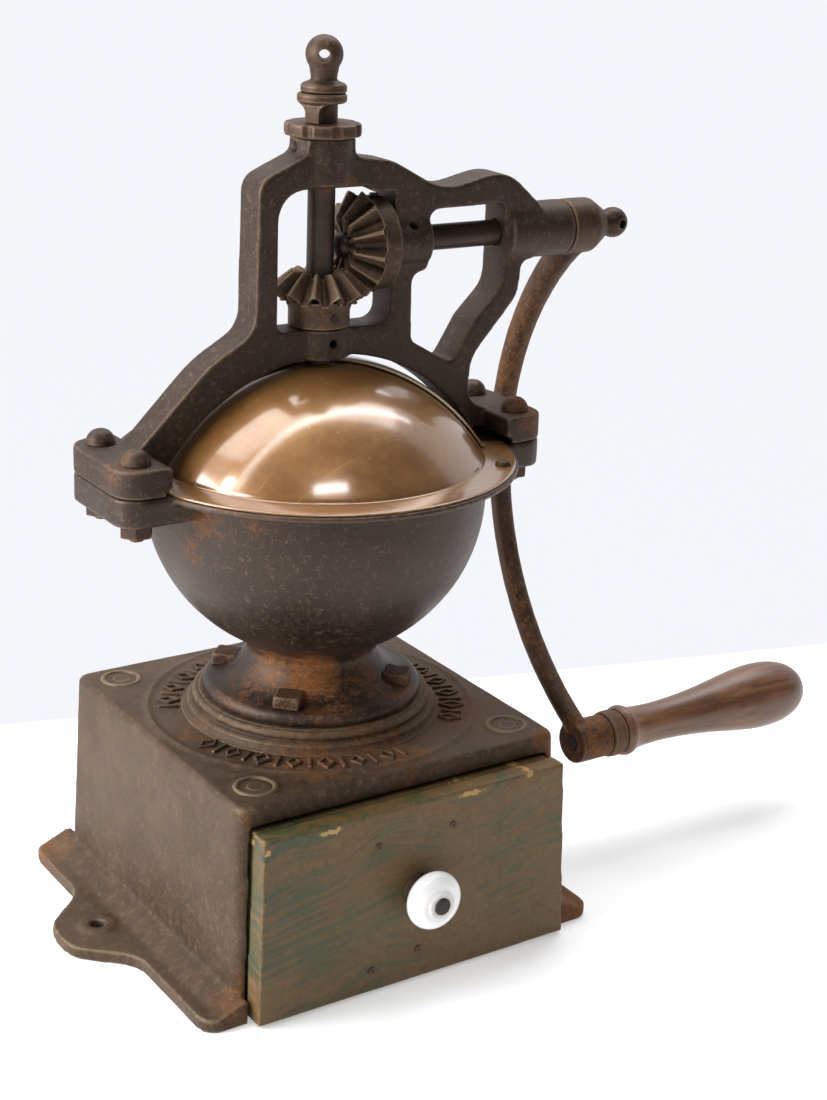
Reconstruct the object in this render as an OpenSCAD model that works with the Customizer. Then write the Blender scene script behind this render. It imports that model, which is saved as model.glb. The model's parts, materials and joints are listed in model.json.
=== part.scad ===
// Counter coffee grinder: a cast-iron base with a drawer, a bowl hopper under a domed brass cover,
// and a cast bridge that carries the grinding shaft, a pair of bevel gears and the crank.
// Millimetres, +Z up. The front faces -Y and the crank stands on the +X side.
// The origin lies on the bench, on the axis of the grinding shaft.

/* [Base casting] */
// Width and depth of the deck
deck_w = 170; // [164:1:176]
// Height of the deck above the bench
deck_z = 100; // [96:1:108]
// Thickness of the walls and of the deck
wall = 5.5; // [4.5:0.5:6.5]
// How far each wall leans out between the deck and the bench
wall_flare = 3.5; // [2:0.5:4.5]
// Height of the lip that hangs over the drawer
lip_h = 9.5; // [7:0.5:11]
// Reach of the foot flange beyond the deck's edge
foot_reach = 21; // [18:1:24]
// Reach of the foot flange past the walls, in front and behind
foot_past = 6; // [3.5:0.5:8.5]
// Thickness of the foot flange
foot_t = 6; // [5:0.5:7]
// Reach of the bench ear beyond the flange
ear_reach = 24; // [20:1:28]
// Place of the ear, behind the shaft's axis
ear_y = 6; // [0:1:10]
// Diameter of the bench-bolt hole in each ear
bench_hole_d = 6.5; // [5:0.5:8]
// Distance of the bench-bolt hole from the ear's tip
bench_hole_in = 19; // [16:1:21]
// Diameter of the raised ring on the deck
deck_ring_d = 157; // [150:1:159]
// Diameter of the pedestal under the hopper
pedestal_d = 109; // [106:1:112]
// Height of the pedestal above the deck
pedestal_h = 10; // [8:1:13]

/* [Hopper] */
// Height of the hopper, from its foot to its rim
hopper_h = 115.5; // [112:0.5:120]
// Outer diameter of the bowl
bowl_d = 159; // [156:1:162]
// Thickness of the bowl
bowl_wall = 4; // [3:0.5:4.5]
// Height of the bowl's straight band below the rim
bowl_band = 15.5; // [13:0.5:18]
// Diameter of the neck at its narrowest
neck_d = 62; // [60:1:64]
// Height of the narrowest place above the hopper's foot
neck_z = 20; // [18:0.5:22]
// Diameter of the rim flange
rim_d = 188; // [185:1:190]
// Thickness of the rim flange
rim_t = 3; // [2.5:0.5:4]
// Diameter of the foot flange
hopper_foot_d = 104.6; // [102:0.2:108]
// Thickness of the foot flange
hopper_foot_t = 6.5; // [5:0.5:8]
// Radius of the bolt circle in the foot flange
foot_bolt_ring = 42; // [41:0.5:44]
// Diameter of the foot bolts
foot_bolt_d = 6; // [5:0.5:6.5]
// Width of the foot bolts' square heads
foot_head_w = 12.5; // [10:0.5:13]
// Height of the lugs that carry the bridge
lug_h = 13; // [10:1:16]

/* [Bridge] */
// Distance of the lug bolts from the shaft's axis, left and right
lug_x = 100; // [99:0.5:104]
// Distance of the lug bolts from the middle, front and back
lug_y = 17.6; // [16.5:0.1:20]
// Radius of the lugs' rounded corners
lug_r = 12; // [10:0.5:13]
// Diameter of the lug bolts
lug_bolt_d = 6.4; // [5:0.2:7]
// Thickness of the bridge's feet
bridge_foot_t = 13; // [11:1:15]
// Thickness of the cast frame, front to back
bridge_t = 18; // [16:1:20]
// Height of the crank's axis above the bridge's feet
axis_h = 96; // [94:1:104]
// Diameter of the crank's bearings and of the top bearing
bearing_d = 26.6; // [25:0.2:28]
// Diameter of the boss under the gears
lower_boss_d = 28.8; // [27:0.2:30]
// End of the outer crank bearing, from the shaft's axis
bearing_x = 134.5; // [132:0.5:138]

/* [Shafts and gears] */
// Diameter of the grinding shaft
main_d = 12.4; // [11:0.2:13]
// Diameter of the crank shaft
crank_d = 12; // [11:0.2:13]
// Teeth on each bevel gear, a multiple of four
teeth = 16; // [12:4:20]
// Pitch radius of the gears at their large end
pitch_r = 22.4; // [21.6:0.1:23]
// Length of the teeth along the pitch cone
face_w = 14; // [11:0.5:15]
// Pressure angle of the teeth
pressure = 24; // [20:1:25]
// Metal taken off each flank for backlash
gear_play = 0.15; // [0.1:0.01:0.25]
// Diameter of the gears' hubs
gear_hub_d = 28; // [24:0.5:29]
// Length of the grinding shaft's gear below its pitch circle
gear_hub_l = 12.6; // [11.8:0.1:13]
// Length of the crank's gear behind its pitch circle
gear_back_l = 10.9; // [9.5:0.1:11.2]
// Diameter of the gears' pins
pin_d = 4; // [3:0.2:4.4]

/* [Grinding set] */
// Diameter of the grinding ring
ring_d = 64; // [62:0.5:65]
// Height of the grinding ring
ring_h = 22; // [20:1:23]
// Grinding teeth inside the ring
ring_teeth = 30; // [20:1:36]
// Diameter of the cone at its foot
cone_d = 50; // [46:0.5:52]
// Height of the cone
cone_h = 37; // [32:1:40]
// Ridges on the cone
cone_ridges = 9; // [6:1:11]
// Gap between the cone's foot and the ring
grind_gap = 0.6; // [0.4:0.1:1.2]

/* [Adjuster] */
// Diameter of the adjusting nut
nut_d = 34.2; // [32:0.2:37]
// Thickness of the adjusting nut
nut_t = 6; // [5:0.5:8]
// Notches in the adjusting nut's rim
nut_notches = 8; // [6:1:10]
// Diameter of the lock cap
cap_d = 22; // [20:0.5:24]
// Height of the lock cap
cap_h = 12.5; // [11:0.5:15]
// Width of the lock cap's tongue
tongue_w = 6; // [5:0.5:6.5]
// Diameter of the clamp screw's ball
ball_d = 16.6; // [15:0.2:18]
// Height of the clamp screw's ball above the lock cap
ball_rise = 16.4; // [15:0.2:18]

/* [Crank] */
// Distance of the grip's axis from the crank's axis
crank_reach = 263; // [250:1:275]
// How far the hanging crank leans to the front at rest
crank_lean = 7.2; // [0:0.2:10]
// Bend radius of the arm
arm_bend = 153; // [148:1:175]
// Bow of the arm behind the line between its ends
arm_bow = 63.5; // [58:0.5:65]
// Width of the arm at the hub
arm_hub_w = 16; // [13:0.5:18]
// Width of the arm at the grip's end
arm_end_w = 11; // [9:0.5:13]
// Length of the crank's hub
hub_l = 23; // [20:0.5:26]
// Width of the square end in the hub
square_w = 8.4; // [7:0.2:8.8]
// Diameter of the boss at the grip's end
grip_boss_d = 22; // [18:0.5:24]
// Length of the boss at the grip's end
grip_boss_l = 20; // [17:0.5:22]
// Diameter of the crank screw's ball
crank_ball_d = 14.8; // [13:0.2:16]
// Diameter of the grip's spindle
spindle_d = 8; // [6:0.5:9]
// Length of the wooden grip
grip_l = 122; // [110:1:130]
// Diameter of the grip at its thickest
grip_d = 33.4; // [30:0.2:36]
// Length of the ferrule
ferrule_l = 13; // [11:0.5:16]

/* [Covers] */
// Radius of the front dome's outer face
dome_r = 92.5; // [92:0.1:93.5]
// Height of the dome's crown above the rim
dome_rise = 44; // [42:0.5:44.5]
// Thickness of the brass sheet
sheet_t = 1; // [0.6:0.1:1.2]
// Diameter of the front cover's flange
cover_flange_d = 185; // [182:0.5:187]
// Turn of the covers' parting line about the shaft
cover_turn = -15; // [-18:1:-10]
// Opening angle of the rear cover
cover_lap = 7; // [4:1:10]

/* [Drawer] */
// Height of the drawer's front board
board_h = 88.5; // [84:0.5:90]
// Thickness of the board in front of the walls
board_t = 12.4; // [10:0.2:16]
// Depth of the drawer's tray
tray_l = 150; // [130:1:155]
// Height of the tray's walls
tray_h = 66; // [56:1:68]
// Thickness of the tray's sheet
tray_t = 1; // [0.6:0.1:1.4]
// Side play of the tray between the walls
tray_play = 2; // [1:0.5:4]
// Height of the runners' top above the bench
runner_z = 7.7; // [6:0.1:9]
// Diameter of the porcelain knob
knob_d = 27.5; // [24:0.5:32]
// Height of the knob above the bench
knob_z = 46; // [40:1:52]
// Diameter of the knob's screw
knob_screw_d = 4; // [3:0.5:5]

/* [Fits] */
// Radial clearance of a shaft that runs in a bore
running = 0.08; // [0.03:0.01:0.1]
// Radial clearance of a bolt, pin or socket that doesn't run
seat = 0.1; // [0.05:0.01:0.2]
// Gap between neighbours that move past each other
side_gap = 0.3; // [0.2:0.05:0.4]

/* [Hidden] */
$fn = 64;
cut = 1;

deck_half = deck_w / 2;
corner_r = 6;
deck_edge = 2;
foot_x = deck_half + foot_reach;
foot_l = 2 * (deck_half + wall_flare + foot_past);
ear_tip_x = foot_x + ear_reach;
ear_r = 15;
ear_half = 12;
bench_hole_x = ear_tip_x - bench_hole_in;
skirt_z = 11.5;
skirt_w = 11.5;
inner_half = deck_half - wall;
runner_w = 9.5;
runner_t = 4;
opening_z = deck_z - lip_h;

pedestal_z = deck_z + pedestal_h;
rim_z = pedestal_z + hopper_h;
bowl_r = bowl_d / 2;
bowl_z = rim_z - bowl_band;
neck_r = neck_d / 2;
neck_min_z = pedestal_z + neck_z;
foot_top_z = pedestal_z + hopper_foot_t;
foot_cove = foot_bolt_ring - foot_head_w / 2 - side_gap - neck_r;
bowl_drop = bowl_z - neck_min_z;
neck_cove = (neck_r * neck_r + bowl_drop * bowl_drop - bowl_r * bowl_r) / 2 / (bowl_r - neck_r);
throat_r = neck_r - bowl_wall;
rim_r = rim_d / 2;
foot_bolt_l = 12;
foot_head_h = 6;

bridge_z = rim_z + 0.5;
bridge_foot_z = bridge_z + bridge_foot_t;
lug_end = lug_x + lug_r;
crank_z = bridge_z + axis_h;
bearing_r = bearing_d / 2;
lower_boss_r = lower_boss_d / 2;
top_boss_z = crank_z + 49;
bolt_head_r = lug_bolt_d + 0.3;
bolt_head_h = 6.8;
nut_h = 6.5;
nut_w = 2 * lug_bolt_d + 0.4;

main_r = main_d / 2;
crank_r = crank_d / 2;
pin_r = pin_d / 2;
tooth_module = 2 * pitch_r / teeth;
addendum = tooth_module;
dedendum = 1.2 * tooth_module;
virtual_r = pitch_r / cos(45);
virtual_base = virtual_r * cos(pressure);
virtual_teeth = teeth / cos(45);
play_angle = gear_play / virtual_r * 180 / PI;
band_gap = 0.6;
gear_hub_z = crank_z - pitch_r - gear_hub_l;
gear_back_x = pitch_r + gear_back_l;
window_z = gear_hub_z - side_gap;
window_x = gear_back_x + side_gap;
inner_boss_end = window_x + 19.6;

dome_z = rim_z + dome_rise - dome_r;
rear_r = dome_r + sheet_t + 0.8;
arch_r = rear_r + 2.7;
flange_z = rim_z + 0.1;
flange_top = flange_z + sheet_t;
rear_edge_z = flange_top + 0.5;
cover_screw_r = cover_flange_d / 2 - 5.5;
cover_screw_d = 3.5;
cover_screw_turns = [-40, -170];
peg_hole_r = cover_flange_d / 2 - 8.5;
peg_hole_d = 3;
shaft_hole_r = main_r + side_gap;
hopper_clear_r = cover_flange_d / 2 + 3;

ring_z = pedestal_z - ring_h;
ring_r = ring_d / 2;
ring_flange_r = ring_r + 4;
ring_flange_t = 4;
cone_z = ring_z + 1;
cone_r = cone_d / 2;
cone_nut_h = 8;
shaft_end_z = cone_z - cone_nut_h - 3;

adjuster_z = top_boss_z + running;
cap_z = adjuster_z + nut_t;
cap_top = cap_z + cap_h;
cap_roof = 5.5;
shaft_top = cap_top - cap_roof;
clamp_d = 6;
clamp_l = 15;
notch_r = tongue_w / 2 + seat;
tongue_turn = -150;
tommy_turn = -121;
ball_z = cap_top + ball_rise;
ball_r = ball_d / 2;

hub_x = bearing_x + 0.5;
hub_end = hub_x + hub_l;
hub_r = bearing_r;
arm_x = hub_x + 6;
nose_x = main_r + 1;
square_l = 15;
grip_y = -crank_reach * sin(crank_lean);
grip_z = crank_z - crank_reach * cos(crank_lean);
grip_boss_x = hub_x + 2;
ferrule_x = grip_boss_x + grip_boss_l + side_gap;
grip_x = ferrule_x + ferrule_l;
grip_end = grip_x + grip_l;
grip_r = grip_d / 2;
spindle_r = spindle_d / 2;
tenon_r = 6.8;
ferrule_r = 8.9;
washer_r = spindle_r + 3;
washer_t = 1.2;
crank_screw_d = 5;
crank_ball_r = crank_ball_d / 2;
crank_ball_x = hub_end + crank_ball_r;

board_z = 1.5;
board_top = board_z + board_h;
board_half = inner_half + 0.5;
board_back = -(deck_half - 4.6);
lean_angle = atan(wall_flare / deck_z);
tray_z = runner_z + side_gap;
tray_half = inner_half - tray_play;
tray_back = board_back + tray_l;
nail_r = 0.9;
nail_head_r = 1.9;
nails = [[-22, 73], [18, 74], [-25, 12], [0, 16]];
collar_t = 5;
knob_t = 13.5;
knob_r = knob_d / 2;
knob_screw_r = knob_screw_d / 2;

iron = [0.30, 0.26, 0.23];
dark_iron = [0.24, 0.21, 0.19];
rusty_iron = [0.42, 0.30, 0.20];
brass = [0.50, 0.39, 0.24];
green_paint = [0.27, 0.31, 0.19];
walnut = [0.30, 0.16, 0.10];
steel = [0.45, 0.43, 0.40];
porcelain = [0.93, 0.92, 0.89];

// Vectors and outlines
function unit(v) = v / norm(v);
function polar(r, a) = [r * cos(a), r * sin(a)];

// Arc that rounds corner b of an outline, with a before it and c after it; b.z is the radius
function corner_arc(a, b, c, steps) =
  let (
    u = unit([a.x - b.x, a.y - b.y]),
    v = unit([c.x - b.x, c.y - b.y]),
    half = acos(u * v) / 2,
    centre = [b.x, b.y] + unit(u + v) * b.z / sin(half),
    start = [b.x, b.y] + u * b.z / tan(half) - centre,
    end = [b.x, b.y] + v * b.z / tan(half) - centre,
    from = atan2(start.y, start.x),
    raw = atan2(end.y, end.x) - from,
    turn = raw > 180 ? raw - 360 : raw < -180 ? raw + 360 : raw
  )
  [for (i = [0:steps]) centre + b.z * [cos(from + turn * i / steps), sin(from + turn * i / steps)]];

// Closed outline from corners [x, y, radius]
function rounded(corners, steps = 6) =
  let (n = len(corners))
  [for (i = [0:n - 1])
    each corners[i].z == 0
      ? [[corners[i].x, corners[i].y]]
      : corner_arc(corners[(i + n - 1) % n], corners[i], corners[(i + 1) % n], steps)];

// Smooth curve through the given points, by cubic pieces
function smooth(points, steps = 5) =
  let (n = len(points), p = function (i) points[min(max(i, 0), n - 1)])
  concat(
    [for (i = [0:n - 2], s = [0:steps - 1])
      let (t = s / steps, a = p(i - 1), b = p(i), c = p(i + 1), d = p(i + 2))
      0.5 * (2 * b + (c - a) * t + (2 * a - 5 * b + 4 * c - d) * t * t + (3 * b - a - 3 * c + d) * t * t * t)],
    [points[n - 1]]
  );

// Y of the drawer front's face and half width of the casting's inside at a height
function lean_at(z) = wall_flare * (deck_z - z) / deck_z;
function board_face(z) = -(deck_half + side_gap + board_t + lean_at(z));

module on_crank(x) {
  translate([x, 0, crank_z])
    rotate([0, 90, 0])
      children();
}

module on_grip(x) {
  translate([x, grip_y, grip_z])
    rotate([0, 90, 0])
      children();
}

module on_board(x, z) {
  translate([x, board_face(z), z])
    rotate([90 - lean_angle, 0, 0])
      children();
}

module both_sides() {
  children();
  mirror([1, 0, 0])
    children();
}

module at_lug_bolts(z) {
  for (x = [-lug_x, lug_x], y = [-lug_y, lug_y])
    translate([x, y, z])
      children();
}

module at_foot_bolts(z) {
  for (a = [45:90:315])
    rotate(a)
      translate([foot_bolt_ring, 0, z])
        children();
}

// Square slab with rounded corners, a thin layer of a flared box
module layer(half, r, z) {
  translate([0, 0, z])
    linear_extrude(0.01)
      for (x = [-1, 1], y = [-1, 1])
        translate([x * (half - r), y * (half - r)])
          circle(r, $fn = 32);
}

// Box whose sides lean out by the wall's flare towards the bench
module flared_box(half, r, top, bottom, edge = 0) {
  hull() {
    layer(half - edge, max(r - edge, 0.5), top - 0.01);
    layer(half - 0.3 * edge, r, top - 0.3 * edge);
    layer(half, r, top - edge);
    layer(half + lean_at(bottom), r, bottom);
  }
}

// Slab between two heights whose width and front follow the flare; the back is upright
module flared_slab(half, top, bottom, front, back) {
  points = [
    for (z = [bottom, top])
      each [
        [-half - lean_at(z), front - lean_at(z), z],
        [half + lean_at(z), front - lean_at(z), z],
        [half + lean_at(z), back, z],
        [-half - lean_at(z), back, z]
      ]
  ];
  polyhedron(points, [[0, 1, 2, 3], [7, 6, 5, 4], [4, 5, 1, 0], [5, 6, 2, 1], [6, 7, 3, 2], [7, 4, 0, 3]]);
}

module foot_plan() {
  polygon(rounded([
    [deck_half, -foot_l / 2, 0],
    [foot_x, -foot_l / 2, 8],
    [foot_x, ear_y - 34, 22],
    [ear_tip_x, ear_y - ear_half, ear_r],
    [ear_tip_x, ear_y + ear_half, ear_r],
    [foot_x, ear_y + 34, 22],
    [foot_x, foot_l / 2, 8],
    [deck_half, foot_l / 2, 0]
  ]));
}

// Foot flange: a flat strip with a skirt that rises to the wall
module foot() {
  wall_x = deck_half + lean_at(skirt_z);
  intersection() {
    linear_extrude(skirt_z + cut)
      foot_plan();
    rotate([90, 0, 0])
      linear_extrude(foot_l + 2, center = true)
        polygon([
          [deck_half, 0],
          [ear_tip_x + cut, 0],
          [ear_tip_x + cut, foot_t],
          [wall_x + skirt_w, foot_t + 0.5],
          [wall_x, skirt_z],
          [deck_half, skirt_z]
        ]);
  }
  translate([bench_hole_x, ear_y, 0])
    cylinder(r = bench_hole_d / 2 + 5.2, h = foot_t + 1.5);
}

// Raised corner ornament: a bead round a low disc
module medallion() {
  rotate_extrude()
    translate([9.6, 0])
      circle(1);
  cylinder(r = 7.2, h = 0.7);
}

module base_casting() {
  color(iron)
    difference() {
      union() {
        difference() {
          flared_box(deck_half, corner_r, deck_z, 0, deck_edge);
          flared_box(inner_half, 2, deck_z - wall, -cut);
          flared_slab(inner_half, opening_z, -cut, -deck_half - wall, -deck_half / 2);
        }
        both_sides()
          foot();
        // Runners for the tray
        both_sides()
          translate([inner_half - runner_w, board_back + side_gap, runner_z - runner_t])
            cube([runner_w + wall_flare + cut, inner_half - board_back, runner_t]);
        // Seat of the grinding ring under the deck
        translate([0, 0, ring_z])
          cylinder(r = ring_flange_r + 4.5, h = deck_z - ring_z - cut);
        // Pedestal with a cove at its foot
        translate([0, 0, deck_z - cut])
          cylinder(d = pedestal_d, h = pedestal_h + cut);
        translate([0, 0, deck_z])
          rotate_extrude()
            difference() {
              square([pedestal_d / 2 + 5.5, 4.5]);
              translate([pedestal_d / 2 + 5.5, 4.5])
                circle(4.5);
            }
        translate([0, 0, deck_z])
          rotate_extrude()
            translate([deck_ring_d / 2, 0])
              circle(1.3);
        for (x = [-1, 1], y = [-1, 1])
          translate([x * (deck_half - 17), y * (deck_half - 17), deck_z])
            medallion();
      }
      translate([0, 0, ring_z - cut])
        cylinder(r = ring_r + seat, h = ring_h + 2 * cut);
      translate([0, 0, pedestal_z - ring_flange_t - seat])
        cylinder(r = ring_flange_r + seat, h = ring_flange_t + cut);
      at_foot_bolts(pedestal_z - foot_bolt_l - cut)
        cylinder(d = foot_bolt_d + 2 * seat, h = foot_bolt_l + 2 * cut);
      both_sides()
        translate([bench_hole_x, ear_y, -cut])
          cylinder(d = bench_hole_d, h = foot_t + 4);
    }
}

// Half section of the bowl, neck and foot
module hopper_profile() {
  cove_x = neck_r + neck_cove;
  junction = bowl_r / (bowl_r + neck_cove);
  join_z = bowl_z - bowl_drop * junction;
  difference() {
    union() {
      intersection() {
        translate([0, bowl_z])
          circle(bowl_r, $fn = 128);
        translate([0, join_z])
          square([bowl_r, bowl_z - join_z]);
      }
      translate([0, bowl_z - cut])
        square([bowl_r, rim_z - bowl_z + cut]);
      translate([0, rim_z - rim_t])
        square([rim_r, rim_t]);
      translate([0, neck_min_z])
        square([cove_x * junction, join_z - neck_min_z + cut]);
      translate([0, foot_top_z - cut])
        square([neck_r, neck_min_z - foot_top_z + cut]);
      translate([0, foot_top_z - cut])
        square([neck_r + foot_cove, foot_cove + cut]);
      translate([0, pedestal_z])
        square([hopper_foot_d / 2, hopper_foot_t]);
    }
    translate([cove_x, neck_min_z])
      circle(neck_cove);
    translate([neck_r + foot_cove, foot_top_z + foot_cove])
      circle(foot_cove);
    translate([0, bowl_z])
      circle(bowl_r - bowl_wall, $fn = 128);
    translate([0, bowl_z])
      square([bowl_r - bowl_wall, bowl_band + cut]);
    translate([0, pedestal_z - cut])
      square([throat_r, bowl_z - pedestal_z]);
  }
}

module lug_plan() {
  for (y = [-lug_y, lug_y])
    translate([lug_x, y])
      circle(lug_r);
  translate([lug_x, -lug_y])
    square([lug_r, 2 * lug_y]);
}

module hopper_bowl() {
  color(dark_iron)
    difference() {
      union() {
        rotate_extrude($fn = 128)
          hopper_profile();
        // Lugs for the bridge's feet
        both_sides()
          difference() {
            translate([0, 0, bridge_z - lug_h])
              linear_extrude(lug_h)
                union() {
                  lug_plan();
                  translate([bowl_r - 12, -lug_y - lug_r])
                    square([lug_x - bowl_r + 12, 2 * (lug_y + lug_r)]);
                }
            translate([0, 0, bowl_z])
              sphere(bowl_r - bowl_wall, $fn = 128);
            translate([0, 0, bowl_z])
              cylinder(r = bowl_r - bowl_wall / 2, h = lug_h + bowl_band);
            translate([0, 0, rim_z])
              cylinder(r = hopper_clear_r, h = lug_h);
          }
      }
      at_lug_bolts(bridge_z - lug_h - cut)
        cylinder(d = lug_bolt_d + 2 * seat, h = lug_h + 2 * cut);
      at_foot_bolts(pedestal_z - cut)
        cylinder(d = foot_bolt_d + 2 * seat, h = hopper_foot_t + 2 * cut);
      for (a = cover_screw_turns)
        rotate(a)
          translate([cover_screw_r, 0, rim_z - rim_t - cut])
            cylinder(d = cover_screw_d + 2 * seat, h = rim_t + 2 * cut);
    }
}

module hopper_bolts() {
  color(rusty_iron)
    at_foot_bolts(0) {
      translate([0, 0, foot_top_z])
        intersection() {
          translate([-foot_head_w / 2, -foot_head_w / 2, 0])
            cube([foot_head_w, foot_head_w, foot_head_h]);
          cylinder(r1 = foot_head_w, r2 = 0.62 * foot_head_w, h = foot_head_h);
        }
      translate([0, 0, pedestal_z - foot_bolt_l])
        cylinder(d = foot_bolt_d, h = foot_bolt_l + hopper_foot_t + cut);
    }
}

// Inner grinding teeth: V grooves between lands
function ring_teeth_outline(r) = [
  for (k = [0:ring_teeth - 1])
    each [
      polar(r, 360 * k / ring_teeth),
      polar(r, 360 * (k + 0.25) / ring_teeth),
      polar(r + 2.2, 360 * (k + 0.4) / ring_teeth)
    ]
];

module grinding_ring() {
  mouth = 1.14;
  color(steel)
    difference() {
      union() {
        translate([0, 0, ring_z])
          cylinder(r = ring_r, h = ring_h);
        translate([0, 0, pedestal_z - ring_flange_t])
          cylinder(r = ring_flange_r, h = ring_flange_t);
      }
      translate([0, 0, ring_z - cut])
        linear_extrude(ring_h + 2 * cut, scale = mouth)
          polygon(ring_teeth_outline(cone_r + grind_gap));
    }
}

module bridge_outline() {
  polygon(rounded([
    [-lug_end, bridge_z, 0],
    [-lug_end, bridge_foot_z, 3],
    [-(lug_x - 4), bridge_foot_z + 1, 12],
    [-60, dome_z + arch_r + 1.4, 60],
    [-37.3, window_z + 1.3, 14],
    [-36.2, crank_z + 32, 9],
    [-12, crank_z + 42.5, 5],
    [-12, top_boss_z, 0],
    [12, top_boss_z, 0],
    [12, crank_z + 40.5, 4],
    [32, crank_z + 38, 25],
    [60, crank_z + 23, 30],
    [95, crank_z + 31, 22],
    [117, crank_z + 12, 8],
    [117, crank_z, 0],
    [114, crank_z - 12, 0],
    [106.5, crank_z - 13.3, 4],
    [105, crank_z - 29, 14],
    [79.5, bridge_foot_z + 25.5, 18],
    [78.8, bridge_foot_z + 5, 9],
    [88, bridge_foot_z + 0.5, 3],
    [lug_end - 1, bridge_foot_z, 3],
    [lug_end - 1, bridge_z, 0],
    [75, bridge_z, 0]
  ]));
}

module gear_window() {
  polygon(rounded([
    [-26.3, window_z, 4],
    [-26.3, crank_z + 27, 13],
    [20, crank_z + 27, 6],
    [26, crank_z + 18, 6],
    [window_x, crank_z + 11, 5],
    [window_x, window_z - 1, 7]
  ]));
}

module crank_window() {
  left = inner_boss_end - 0.3;
  polygon(rounded([
    [left, crank_z + 14.5, 5],
    [95.3, crank_z + 15, 4],
    [95.3, crank_z - 24.5, 14],
    [80, crank_z - 39, 12],
    [68, bridge_foot_z + 24.5, 3],
    [45, dome_z + arch_r + 2.4, 5],
    [44.3, crank_z - 14.5, 5],
    [left, crank_z - 13, 3]
  ]));
}

// Flat cast plate, hollowed over the covers and round the crank's gear
module frame_plate() {
  difference() {
    rotate([90, 0, 0])
      linear_extrude(bridge_t, center = true)
        difference() {
          bridge_outline();
          gear_window();
          crank_window();
        }
    translate([0, 0, dome_z])
      rotate([90, 0, 0])
        cylinder(r = arch_r, h = 2 * bridge_t, center = true, $fn = 128);
    on_crank(main_r)
      cylinder(r = pitch_r + addendum * cos(45) + 1.2, h = window_x - main_r);
  }
}

module bridge_frame() {
  color(iron)
    difference() {
      union() {
        frame_plate();
        translate([0, 0, crank_z + 28])
          cylinder(r = bearing_r, h = top_boss_z - crank_z - 28);
        translate([0, 0, dome_z + arch_r - 1.2])
          cylinder(r = lower_boss_r, h = window_z - dome_z - arch_r + 1.2);
        on_crank(window_x)
          cylinder(r = bearing_r, h = inner_boss_end - window_x);
        on_crank(98)
          cylinder(r = bearing_r, h = bearing_x - 98);
        // Feet on the hopper's lugs
        both_sides()
          translate([0, 0, bridge_z])
            linear_extrude(bridge_foot_t)
              union() {
                lug_plan();
                translate([88, -lug_y - lug_r])
                  square([lug_x - 88, 2 * (lug_y + lug_r)]);
              }
      }
      // Room for the covers' edges under the feet
      translate([0, 0, bridge_z - cut])
        cylinder(r = hopper_clear_r, h = rear_edge_z - bridge_z + 2.5 + cut);
      translate([0, 0, dome_z])
        cylinder(r = main_r + running, h = top_boss_z - dome_z + cut);
      on_crank(window_x - cut)
        cylinder(r = crank_r + running, h = bearing_x - window_x + 2 * cut);
      at_lug_bolts(bridge_z - cut)
        cylinder(d = lug_bolt_d + 2 * seat, h = bridge_foot_t + 2 * cut);
      // Oil holes of the bearings
      translate([0, 0, window_z - 6.5])
        rotate([90, 0, 0])
          cylinder(d = 4, h = lower_boss_r + cut);
      translate([0, 0, crank_z + 38])
        rotate([90, 0, -25])
          cylinder(d = 4, h = bearing_r + cut);
      translate([(window_x + inner_boss_end) / 2, 0, crank_z])
        rotate([50, 0, 0])
          cylinder(d = 4, h = bearing_r + cut);
    }
}

// Round-head bolt through the bridge's foot and the hopper's lug
module bridge_bolts() {
  color(dark_iron)
    at_lug_bolts(0) {
      translate([0, 0, bridge_foot_z])
        rotate_extrude()
          polygon(concat(
            smooth([
              [0, bolt_head_h],
              [0.55 * bolt_head_r, 0.86 * bolt_head_h],
              [0.92 * bolt_head_r, 0.42 * bolt_head_h],
              [bolt_head_r, 0]
            ], 3),
            [[0, 0]]
          ));
      translate([0, 0, bridge_z - lug_h - nut_h - 2])
        cylinder(d = lug_bolt_d, h = lug_h + nut_h + bridge_foot_t + 2 + cut);
    }
}

module bridge_nuts() {
  color(dark_iron)
    at_lug_bolts(bridge_z - lug_h - nut_h)
      difference() {
        cylinder(d = nut_w / cos(30), h = nut_h, $fn = 6);
        translate([0, 0, -cut])
          cylinder(d = lug_bolt_d + 2 * seat, h = nut_h + 2 * cut);
      }
}

// Sector of a turned shape, from one angle to another
module sector(from, span, r, bottom, top) {
  translate([0, 0, bottom])
    linear_extrude(top - bottom)
      polygon(concat([[0, 0]], [for (i = [0:8]) polar(r, from + span * i / 8)]));
}

// Half section of a dome of sheet, from the shaft's hole to the foot
module dome_profile(r, foot_z) {
  intersection() {
    difference() {
      translate([0, dome_z])
        circle(r, $fn = 128);
      translate([0, dome_z])
        circle(r - sheet_t, $fn = 128);
    }
    translate([shaft_hole_r, foot_z])
      square([r, r]);
  }
}

module front_cover() {
  dome_foot_r = sqrt(dome_r * dome_r - pow(flange_z - dome_z, 2));
  color(brass)
    intersection() {
      difference() {
        rotate_extrude($fn = 128)
          union() {
            dome_profile(dome_r, flange_z);
            translate([dome_foot_r - sheet_t, flange_z])
              square([cover_flange_d / 2 - dome_foot_r + sheet_t, sheet_t]);
          }
        for (a = cover_screw_turns)
          rotate(a)
            translate([cover_screw_r, 0, flange_z - cut])
              cylinder(d = cover_screw_d + 2 * seat, h = sheet_t + 2 * cut);
        rotate(-25)
          translate([peg_hole_r, 0, flange_z - cut])
            cylinder(d = peg_hole_d, h = sheet_t + 2 * cut);
      }
      sector(cover_turn, -180, 2 * dome_r, flange_z - cut, dome_z + 2 * dome_r);
    }
}

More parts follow.
